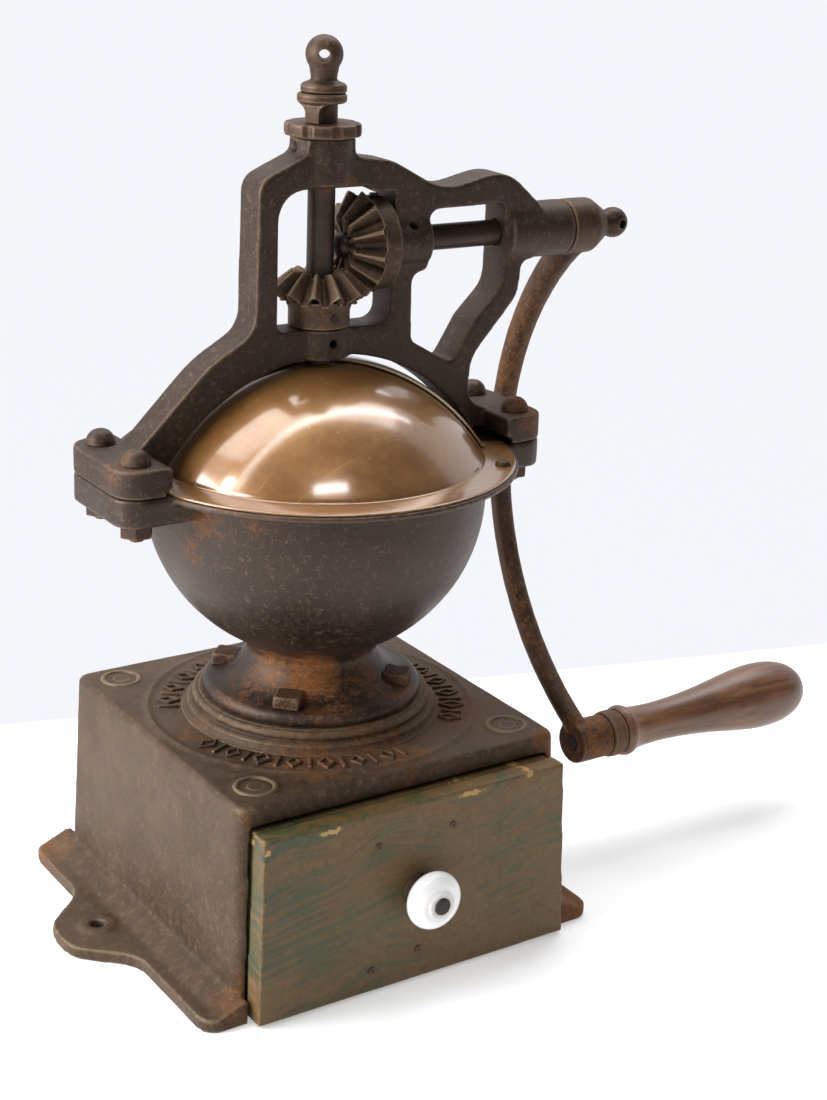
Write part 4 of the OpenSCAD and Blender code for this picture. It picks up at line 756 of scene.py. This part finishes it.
# The foot's top rises to the neck in a hollow curve
bell = [(30, 112), (49.8, 115.4)] + curve([(49.2, 116.2), (45, 117.1), (41, 118.5), (37.6, 120.8), (34.6, 124.2), (32.4, 128.4), (31.1, 133)], 4)
bell_mesh = turned("bell", bell + [(30, 133)], 128)
bowl = softened("hopper_bowl", "cast_bowl", 1.1, 4, 0.08, 14.0, (), 3, 0.5, [bell_mesh], round_foot)
stand_in(bowl, "hopper_bowl", "cast_bowl", bowl_iron)


def oil_dimple(points):
    """Oil hole on the left of the top bearing."""
    out = np.array([math.cos(math.radians(-195)), math.sin(math.radians(-195)), 0])
    away = points - np.array([0, 0, 366.0])
    along = away @ out
    off = np.linalg.norm(away - np.outer(along, out), axis=1)
    depth = 4.5 * np.clip((2.6 - off) / 0.9, 0, 1) * (along > 8)
    return points - out * depth[:, None]


plug = turned("plug", [(0, 7), (2.4, 7), (2.4, 13.0), (0, 13.0)], 24)
plug.transform(
    Matrix.Translation((0, 0, 360 * MM)) @ Matrix.Rotation(math.radians(-25), 4, "Z") @ Matrix.Rotation(math.pi / 2, 4, "X")
)
bridge = softened("bridge_frame", "cast_bridge", 0.8, 8, 0.12, 14.0, (main_bore, crank_bore), 3, 0.9, [plug], oil_dimple)
stand_in(bridge, "bridge_frame", "cast_bridge", bridge_iron)

# Mouldings of the pedestal: a wide cove, a thin fillet and a round bead under the hopper's foot
moulding = [(49, 100.05)] + arc((63.4, 104.0), 3.95, 270, 180, 8) + [(58.4, 104.0), (58.3, 104.9), (56.6, 105.0)]
moulding += arc((54.5, 107.3), 2.5, -60, 90, 10) + [(49, 109.8)]
pedestal_mesh = sculpted(turned("pedestal_mouldings", moulding, 160), "pedestal_mouldings", 0.6, 2, 0.12, 12.0, 0.5)
place(pedestal_mesh, "pedestal_mouldings", base_iron, frame["nodes"]["base_casting"]["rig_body"])

# A bead round a plain disc in each corner of the deck
ring_line = [(7.2, 99.6)] + arc((8.8, 100.0), 1.5, 180, 0, 8) + [(10.4, 99.6)]
disc_line = [(0, 99.6), (4.6, 99.6), (4.6, 100.5), (4.0, 100.9), (0, 100.9)]
corner_pieces = []
for x in (-68, 68):
    for y in (-68, 68):
        for line in (ring_line, disc_line):
            corner_pieces.append(turned("corner", line, 48))
            corner_pieces[-1].transform(Matrix.Translation((x * MM, y * MM, 0)))
corner_mesh = sculpted(joined("corner_discs", corner_pieces), "corner_discs", 0.4, 6, 0.1, 6.0, 0.5)
place(corner_mesh, "corner_discs", base_iron, frame["nodes"]["base_casting"]["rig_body"])


# Bevel gears: twelve cast teeth that run to the point where the shafts cross


def bevel_teeth(teeth, pitch, face, heel, turn):
    """Tooth body below an apex at the origin: involute flanks on the back cone, drawn smaller towards the apex."""
    module = 2 * pitch / teeth
    cone = pitch * math.sqrt(2)
    pressure = math.radians(24)
    base = cone * math.cos(pressure)
    radii = [cone - 1.2 * module + 2.2 * module * i / 5 for i in range(6)]
    halves = []
    for rho in radii:
        a = math.acos(min(1.0, base / rho))
        thick = math.pi / 2 / (teeth * math.sqrt(2)) - 0.004 + math.tan(pressure) - pressure - (math.tan(a) - a)
        halves.append(thick * math.sqrt(2))
    slope = math.sqrt(0.5)
    points = []
    for share in (heel, (cone - face) / cone):
        for k in range(teeth):
            middle = turn + 2 * math.pi * k / teeth
            flank = [(rho, middle - half) for rho, half in zip(radii, halves)]
            flank += [(rho, middle + half) for rho, half in zip(radii[::-1], halves[::-1])]
            for rho, a in flank:
                r = share * (pitch + (rho - cone) * slope) * MM
                points.append((r * math.cos(a), r * math.sin(a), -share * (pitch - (rho - cone) * slope) * MM))
    n = len(points) // 2
    centre = pitch + 1.2 * module * slope
    points += [(0, 0, -heel * centre * MM), (0, 0, -(cone - face) / cone * centre * MM)]
    faces = [(k, (k + 1) % n, n + (k + 1) % n, n + k) for k in range(n)]
    faces += [((k + 1) % n, k, 2 * n) for k in range(n)] + [(n + k, n + (k + 1) % n, 2 * n + 1) for k in range(n)]
    return built("teeth", points, faces)


gear_turn = math.radians(-7)
hub_z = 287.0 - CRANK_Z
hub = turned("hub", [(0, -22.7), (15.7, -22.7), (14, -27.7), (14, hub_z), (0, hub_z)], 96)
lower_gear = joined("lower_bevel_gear", [bevel_teeth(12, 21.2, 14, 1.0, gear_turn), hub])
lower_gear.transform(Matrix.Translation((0, 0, CRANK_Z * MM)))
lower_gear = sculpted(lower_gear, "lower_bevel_gear", 0.32, 3, 0.1, 5.0, 0.4)
stand_in(lower_gear, "shaft_gear", "lower_bevel_gear", dusty_and_lit_gear_iron)
rim = [(0, -23.8), (19.2, -23.8), (21.4, -21.6), (21.4, -30.0), (20.4, -31.0), (14, -31.0), (14, -33.3), (0, -33.3)]
crank_gear = joined("crank_bevel_gear", [bevel_teeth(12, 21.2, 14, 1.037, math.pi / 12 - gear_turn), turned("rim", rim, 96)])
crank_gear.transform(Matrix.Translation((0, 0, CRANK_Z * MM)) @ Matrix.Rotation(-math.pi / 2, 4, "Y"))
crank_gear = sculpted(crank_gear, "crank_bevel_gear", 0.32, 3, 0.1, 5.0, 0.4)
stand_in(crank_gear, "crank_gear", "crank_bevel_gear", gear_iron)

# Adjusting nut with eight shallow notches, and the lock cap whose claw comes down on it
NUT_Z, CAP_TOP = 371.12, 389.58
claw_turn = math.radians(-152)


def notch_limit(a):
    """Radius left by the nearest of the nut's eight notches."""
    off = (a + math.radians(99) + math.pi / 8) % (math.pi / 4) - math.pi / 8
    across = 18.8 * math.sin(off)
    return 1e6 if abs(across) >= 3.1 else 18.8 * math.cos(off) - math.sqrt(3.1**2 - across**2)


nut_line = [(6.3, 0), (15.9, 0), (16.8, 0.4), (17.1, 1.3), (17.1, 4.6), (16.8, 5.5), (15.9, 5.9), (6.3, 5.9)]
nut_mesh = turned("notched_nut", [(r, NUT_Z + h) for r, h in nut_line], 180, bite=notch_limit)
stand_in(sculpted(nut_mesh, "notched_nut", 0.3, 3, 0.05, 5.0, 0.5), "adjusting_nut", "notched_nut", dark_iron)

plate_line = [(0, CAP_TOP - 4), (10.2, CAP_TOP - 4), (11, CAP_TOP - 3.2), (11, CAP_TOP - 0.8), (10.2, CAP_TOP), (0, CAP_TOP)]
plate = turned("plate", plate_line, 96)
plate.transform(Matrix.Translation((1.3 * MM * math.cos(claw_turn), 1.3 * MM * math.sin(claw_turn), 0)))
sleeve = turned("sleeve", [(0, NUT_Z + 6.0), (6.4, NUT_Z + 6.0), (6.4, CAP_TOP - 3), (0, CAP_TOP - 3)], 64)
foot, cove = NUT_Z + 5.95, NUT_Z + 9.9
side = [(9.4 - 5.9 * math.cos(math.radians(15 * i)), cove + (CAP_TOP - 3.8 - cove) * math.sin(math.radians(15 * i))) for i in range(7)]
claw_line = [(3.5, foot)] + side + [(y, CAP_TOP - 2) for y in (9.4, 6.0, 3.0, 0.0, -3.0, -6.0, -9.4)] + [(-y, z) for y, z in side[::-1]] + [(-3.5, foot)]
front = [(min(9.6, 1.2 + math.sqrt(10.8**2 - y**2)) * MM, y * MM, z * MM) for y, z in claw_line]
corners = front + [(0.5 * MM, y, z) for x, y, z in front]
n = len(claw_line)
claw_faces = [tuple(range(n)), tuple(range(2 * n - 1, n - 1, -1))] + [(k, n + k, n + (k + 1) % n, (k + 1) % n) for k in range(n)]
claw = built("claw", corners, claw_faces)
claw.transform(Matrix.Rotation(claw_turn, 4, "Z"))
cap_mesh = sculpted(joined("clawed_cap", [plate, sleeve, claw]), "clawed_cap", 0.25, 3, 0.05, 5.0, 0.5)
stand_in(cap_mesh, "lock_cap", "clawed_cap", dark_iron)

# Grip: a wide iron ring, then wood with a bead, a long waist and a full round end
on_grip = Matrix.Translation((0, GRIP_Y * MM, GRIP_Z * MM)) @ Matrix.Rotation(math.pi / 2, 4, "Y")
iron_ring = [(4.4, 157.4), (11.0, 157.4), (11.9, 158.2), (12.2, 160.5), (12.1, 164.6), (11.5, 166.0), (4.4, 166.0)]
ring_mesh = turned("grip_ring", iron_ring, 96)
ring_mesh.transform(on_grip)
stand_in(sculpted(ring_mesh, "grip_ring", 0.4, 2, 0.12, 6.0, 0.6), "grip_ferrule", "grip_ring", ring_iron)
wood_line = curve(
    [
        (12.0, 166.3),
        (13.2, 168.2),
        (13.2, 170.4),
        (12.0, 173.0),
        (10.9, 178.0),
        (10.4, 188.0),
        (10.5, 198.0),
        (11.4, 212.0),
        (13.2, 228.0),
        (15.5, 243.0),
        (17.2, 256.0),
        (17.6, 265.0),
        (16.9, 275.0),
        (14.6, 283.5),
        (11.4, 289.0),
        (8.4, 291.9),
    ],
    6,
)
grip_mesh = turned("turned_grip", [(4.4, 166.3)] + wood_line + [(7.45, 292.1), (7.4, 288.4), (4.4, 288.4)], 96)
grip_mesh.transform(on_grip)
smooth_shade(grip_mesh, 50)
mark_relief(grip_mesh, 1)
stand_in(grip_mesh, "wooden_grip", "turned_grip", walnut)

# Front cover: spun dome with a flat flange and a thin rolled lip
dome_r, sheet_t, foot_z = 92.5, 1.0, RIM_Z + 0.1
foot_angle = math.degrees(math.asin((foot_z + 1.8 - DOME_Z) / dome_r))
top_angle = math.degrees(math.acos(6.5 / dome_r))
outer = arc((0, DOME_Z), dome_r, top_angle, foot_angle, 60)
inner = arc((0, DOME_Z), dome_r - sheet_t, foot_angle - 0.6, top_angle + 0.1, 60)
foot_r = outer[-1][0]
flange = [(foot_r + 0.15, foot_z + 1.3), (foot_r + 0.6, foot_z + 1.02), (foot_r + 1.2, foot_z + 1.0)]
flange += [(x, foot_z + 1.0) for x in (84.0, 88.0, 91.4)] + [(92.1, foot_z + 0.95), (92.5, foot_z + 0.6), (92.5, foot_z + 0.3), (92.2, foot_z)]
flange += [(86.0, foot_z), (foot_r - 0.6, foot_z)]
cover_mesh = turned("spun_front_cover", outer + flange + inner, 160, -195.0, 180.0)
smooth_shade(cover_mesh, 50)
mark_relief(cover_mesh, 1)
stand_in(cover_mesh, "front_cover", "spun_front_cover", brass)

# Rear cover: the same dome a sheet's play further out, with a rolled edge
rear_r, rear_z = 94.3, 227.1
rear_foot = math.degrees(math.asin((rear_z - DOME_Z) / rear_r))
rear_top = math.degrees(math.acos(6.5 / rear_r))
rear_outer = arc((0, DOME_Z), rear_r, rear_top, rear_foot + 1.0, 60)
rear_inner = arc((0, DOME_Z), rear_r - sheet_t, rear_foot + 0.4, rear_top + 0.1, 60)
edge_r = math.sqrt(rear_r**2 - (rear_z - DOME_Z) ** 2) - 0.1
roll = arc((edge_r, rear_z + 0.8), 0.8, 60, -200, 12)
rear_mesh = turned("spun_rear_cover", rear_outer + roll + rear_inner, 160, -22.0, 194.0)
smooth_shade(rear_mesh, 50)
mark_relief(rear_mesh, 1)
stand_in(rear_mesh, "rear_cover", "spun_rear_cover", brass)

# Porcelain knob, turned about the drawer's screw
knob_r, knob_t, collar_t = 13.75, 13.5, 5.0
knob_line = curve(
    [
        (0.56 * knob_r, 0),
        (0.66 * knob_r, 1.2),
        (0.9 * knob_r, 3.2),
        (knob_r, 6.2),
        (0.93 * knob_r, 9.4),
        (0.72 * knob_r, 11.6),
        (0.5 * knob_r, 12.4),
        (0.44 * knob_r, knob_t - 0.2),
        (0.38 * knob_r, knob_t),
        (0.3 * knob_r, knob_t),
    ],
    6,
)
knob_mesh = turned("porcelain_knob", knob_line + [(2.1, knob_t), (2.1, 0)], 96)
board_face = -(85 + 0.3 + 12.4 + 3.5 * (DECK_Z - KNOB_Z) / DECK_Z)
on_board = Matrix.Translation((0, board_face * MM, KNOB_Z * MM)) @ Matrix.Rotation(math.pi / 2 - BOARD_LEAN, 4, "X")
knob_mesh.transform(on_board @ Matrix.Translation((0, 0, collar_t * MM)))
smooth_shade(knob_mesh, 60)
stand_in(knob_mesh, "drawer_knob", "porcelain_knob", porcelain)



def deck_motif():
    """Raised lozenges with a bar between each two, in arcs round the pedestal, made by Geometry Nodes."""
    group = bpy.data.node_groups.new("arcs of lozenges and bars", "GeometryNodeTree")
    group.interface.new_socket(name="Geometry", in_out="OUTPUT", socket_type="NodeSocketGeometry")
    inputs = {}
    for label, kind, value in (
        ("Motifs per arc", "NodeSocketInt", 7),
        ("Arcs", "NodeSocketInt", 3),
        ("Radius", "NodeSocketFloat", 68.2 * MM),
        ("Step", "NodeSocketFloat", math.radians(12.4)),
        ("Gap", "NodeSocketFloat", math.radians(33.0)),
        ("Start", "NodeSocketFloat", math.radians(-164)),
        ("Foot height", "NodeSocketFloat", DECK_Z * MM),
        ("Seed", "NodeSocketInt", 4),
    ):
        inputs[label] = (group.interface.new_socket(name=label, in_out="INPUT", socket_type=kind).identifier, value)
    given = add(group, "NodeGroupInput").outputs
    count = add(group, "ShaderNodeMath", {"operation": "MULTIPLY"}, {0: given["Motifs per arc"], 1: given["Arcs"]}).outputs["Value"]
    joined = add(group, "GeometryNodeJoinGeometry")
    index = add(group, "GeometryNodeInputIndex").outputs["Index"]
    turn_number = add(group, "ShaderNodeMath", {"operation": "DIVIDE"}, {0: index, 1: given["Motifs per arc"]}).outputs["Value"]
    turn_number = add(group, "ShaderNodeMath", {"operation": "FLOOR"}, {0: turn_number}).outputs["Value"]
    for late, size in ((0.0, (1.7, 2.4)), (0.5, (1.8, 2.2))):
        step = add(group, "ShaderNodeMath", {"operation": "ADD", 1: late}, {0: index}).outputs["Value"]
        angle = add(group, "ShaderNodeMath", {"operation": "MULTIPLY_ADD"}, {0: step, 1: given["Step"], 2: given["Start"]}).outputs["Value"]
        angle = add(group, "ShaderNodeMath", {"operation": "MULTIPLY_ADD"}, {0: turn_number, 1: given["Gap"], 2: angle}).outputs["Value"]
        cosine = add(group, "ShaderNodeMath", {"operation": "COSINE"}, {0: angle}).outputs["Value"]
        sine = add(group, "ShaderNodeMath", {"operation": "SINE"}, {0: angle}).outputs["Value"]
        across = add(group, "ShaderNodeMath", {"operation": "MULTIPLY"}, {0: cosine, 1: given["Radius"]}).outputs["Value"]
        along = add(group, "ShaderNodeMath", {"operation": "MULTIPLY"}, {0: sine, 1: given["Radius"]}).outputs["Value"]
        spot = add(group, "ShaderNodeCombineXYZ", {}, {0: across, 1: along, 2: given["Foot height"]}).outputs["Vector"]
        line = add(group, "GeometryNodeMeshLine", {}, {"Count": count}).outputs["Mesh"]
        points = add(group, "GeometryNodeSetPosition", {}, {"Geometry": line, "Position": spot}).outputs["Geometry"]
        if late:
            half = 5.0 * MM
            outline = add(group, "GeometryNodeCurvePrimitiveLine", {"Start": (-half, 0.0, 0.0), "End": (half, 0.0, 0.0)}).outputs["Curve"]
        else:
            outline = add(group, "GeometryNodeCurvePrimitiveCircle", {"Resolution": 4, "Radius": MM}).outputs["Curve"]
            outline = add(group, "GeometryNodeTransform", {"Scale": (5.0, 3.3, 1.0)}, {"Geometry": outline}).outputs["Geometry"]
        stroke = add(
            group, "GeometryNodeCurvePrimitiveQuadrilateral", {"Width": size[0] * MM, "Height": size[1] * MM}
        ).outputs["Curve"]
        block = add(
            group, "GeometryNodeCurveToMesh", {"Fill Caps": True}, {"Curve": outline, "Profile Curve": stroke}
        ).outputs["Mesh"]
        heading_z = add(group, "ShaderNodeCombineXYZ", {}, {2: angle}).outputs["Vector"]
        vary = add(
            group, "FunctionNodeRandomValue", {"data_type": "FLOAT", 2: 0.9, 3: 1.1}, {"Seed": given["Seed"]}
        ).outputs[1]
        scale = add(group, "ShaderNodeVectorMath", {"operation": "SCALE", 0: (1.0, 1.0, 1.0)}, {"Scale": vary}).outputs["Vector"]
        placed = add(
            group,
            "GeometryNodeInstanceOnPoints",
            {},
            {"Points": points, "Instance": block, "Rotation": heading_z, "Scale": scale},
        ).outputs["Instances"]
        group.links.new(placed, joined.inputs["Geometry"])
    real = add(group, "GeometryNodeRealizeInstances", {}, {"Geometry": joined.outputs["Geometry"]}).outputs["Geometry"]
    finished = add(group, "GeometryNodeSetMaterial", {"Material": base_iron}, {"Geometry": real}).outputs["Geometry"]
    group.links.new(finished, add(group, "NodeGroupOutput").inputs["Geometry"])
    holder = bpy.data.objects.new("motif.raw", bpy.data.meshes.new("motif.raw"))
    bpy.context.scene.collection.objects.link(holder)
    modifier = holder.modifiers.new("motif", "NODES")
    modifier.node_group = group
    for identifier, value in inputs.values():
        modifier[identifier] = value
    bpy.context.view_layer.update()
    mesh = bpy.data.meshes.new_from_object(holder.evaluated_get(bpy.context.evaluated_depsgraph_get()))
    bpy.data.objects.remove(holder)
    return mesh


motif = deck_motif()
clean(motif)
motif = evaluated(motif, "BEVEL", {"width": 0.4 * MM, "segments": 2, "limit_method": "ANGLE", "angle_limit": math.radians(30)})
smooth_shade(motif, 60)
mark_relief(motif, 0)
place(motif, "deck_lozenges", base_iron, frame["nodes"]["base_casting"]["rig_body"])

repaint("grinding_ring", burr_steel)
repaint("grinding_cone", burr_steel)
for node in ("cone_nut", "shaft_gear_pin", "crank_gear_pin", "grip_spindle", "spindle_washer", "knob_nut"):
    repaint(node, shaft_steel)
repaint("drawer_tray", tray_steel)


# Studio: pale floor, soft light from the back and the left, a darker room in front

floor_mesh = bpy.data.meshes.new("floor")
floor_mesh.from_pydata([(-6, -6, 0), (6, -6, 0), (6, 6, 0), (-6, 6, 0)], [], [(0, 1, 2, 3)])
floor = bpy.data.objects.new("floor", floor_mesh)
bpy.context.scene.collection.objects.link(floor)
paper, tree, shader, spot = new_material("white paper sweep")
# The bench ends and the wall begins on a slanting line behind the grinder
depth = add(tree, "ShaderNodeVectorMath", {"operation": "DOT_PRODUCT", 1: (0.256, 0.967, 0.0)}, {0: spot}).outputs["Value"]
behind = add(tree, "ShaderNodeMapRange", {"From Min": 0.222, "From Max": 0.228}, {"Value": depth}).outputs["Result"]
paper_colour = add(tree, "ShaderNodeMix", {"data_type": "RGBA", 6: linear("#E6E6E6"), 7: linear("#101010")}, {0: behind}).outputs[2]
glow_colour = add(tree, "ShaderNodeMix", {"data_type": "RGBA", 6: linear("#FFFFFF"), 7: linear("#F4F5FA")}, {0: behind}).outputs[2]
glow = add(tree, "ShaderNodeMapRange", {"To Min": 0.36, "To Max": 1.0}, {"Value": behind}).outputs["Result"]
tree.links.new(paper_colour, shader.inputs["Base Color"])
tree.links.new(glow_colour, shader.inputs["Emission Color"])
tree.links.new(glow, shader.inputs["Emission Strength"])
shader.inputs["Roughness"].default_value = 0.9
shader.inputs["Specular IOR Level"].default_value = 0.0
floor_mesh.materials.append(paper)

world = bpy.data.worlds.new("studio")
bpy.context.scene.world = world
world.use_nodes = True
sky = world.node_tree
background = sky.nodes["Background"]
direction = add(sky, "ShaderNodeTexCoord").outputs["Generated"]
facing = add(sky, "ShaderNodeVectorMath", {"operation": "DOT_PRODUCT", 1: (0.276, 0.942, -0.188)}, {0: direction}).outputs["Value"]
bright_side = add(
    sky, "ShaderNodeMapRange", {"interpolation_type": "SMOOTHSTEP", "From Min": -0.1, "From Max": 0.06, "To Min": 0.12, "To Max": 0.85}, {"Value": facing}
).outputs["Result"]
seen = add(sky, "ShaderNodeLightPath").outputs["Is Camera Ray"]
strength = add(sky, "ShaderNodeMix", {3: 0.92}, {0: seen, 2: bright_side}).outputs[0]
sky.links.new(strength, background.inputs["Strength"])
background.inputs["Color"].default_value = linear("#F7F8FC")


def softbox(name, towards, distance, size, power, colour="#FFFFFF"):
    """Rectangular lamp at a distance in a direction from the grinder, turned to face it."""
    lamp = bpy.data.lights.new(name, "AREA")
    lamp.shape = "RECTANGLE"
    lamp.size, lamp.size_y = size
    lamp.energy = power
    lamp.color = linear(colour)[:3]
    stand = bpy.data.objects.new(name, lamp)
    bpy.context.scene.collection.objects.link(stand)
    line = Vector(towards).normalized()
    stand.location = Vector((0, 0, 0.2)) + line * distance
    stand.rotation_euler = line.to_track_quat("Z", "Y").to_euler()


def heading(azimuth, elevation):
    """Direction from degrees: azimuth 0 is the front and 90 the right."""
    a, e = math.radians(azimuth), math.radians(elevation)
    return (math.sin(a) * math.cos(e), -math.cos(a) * math.cos(e), math.sin(e))


softbox("window_left", heading(-100, 18), 1.3, (1.0, 0.9), 26)
softbox("ceiling", heading(170, 66), 1.5, (2.4, 1.0), 23)
softbox("ceiling_edge", heading(-176, 82), 1.5, (3.4, 0.12), 8)
softbox("lamp_left", heading(-101, 41), 1.6, (0.10, 0.16), 2.4)
softbox("lamp_front", heading(-17, 54), 1.6, (0.5, 0.16), 3.5)

# Camera, from the photograph's own perspective
azimuth, elevation, roll_angle = -0.594573, 0.339768, 0.0395524
back = Vector((math.sin(azimuth) * math.cos(elevation), -math.cos(azimuth) * math.cos(elevation), math.sin(elevation)))
level = Vector((math.cos(azimuth), math.sin(azimuth), 0))
upright = back.cross(level)
right = math.cos(roll_angle) * level + math.sin(roll_angle) * upright
up = -math.sin(roll_angle) * level + math.cos(roll_angle) * upright
camera_data = bpy.data.cameras.new("photograph_view")
camera_data.sensor_width = 36
camera_data.lens = 1971.83 * 36 / 1100
camera_data.clip_start = 0.01
camera = bpy.data.objects.new("photograph_view", camera_data)
bpy.context.scene.collection.objects.link(camera)
turn = Matrix((right, up, back)).transposed().to_4x4()
camera.matrix_world = Matrix.Translation((-0.451129, -0.750937, 0.489393)) @ turn
bpy.context.scene.camera = camera
bpy.context.scene.view_settings.view_transform = "Standard"
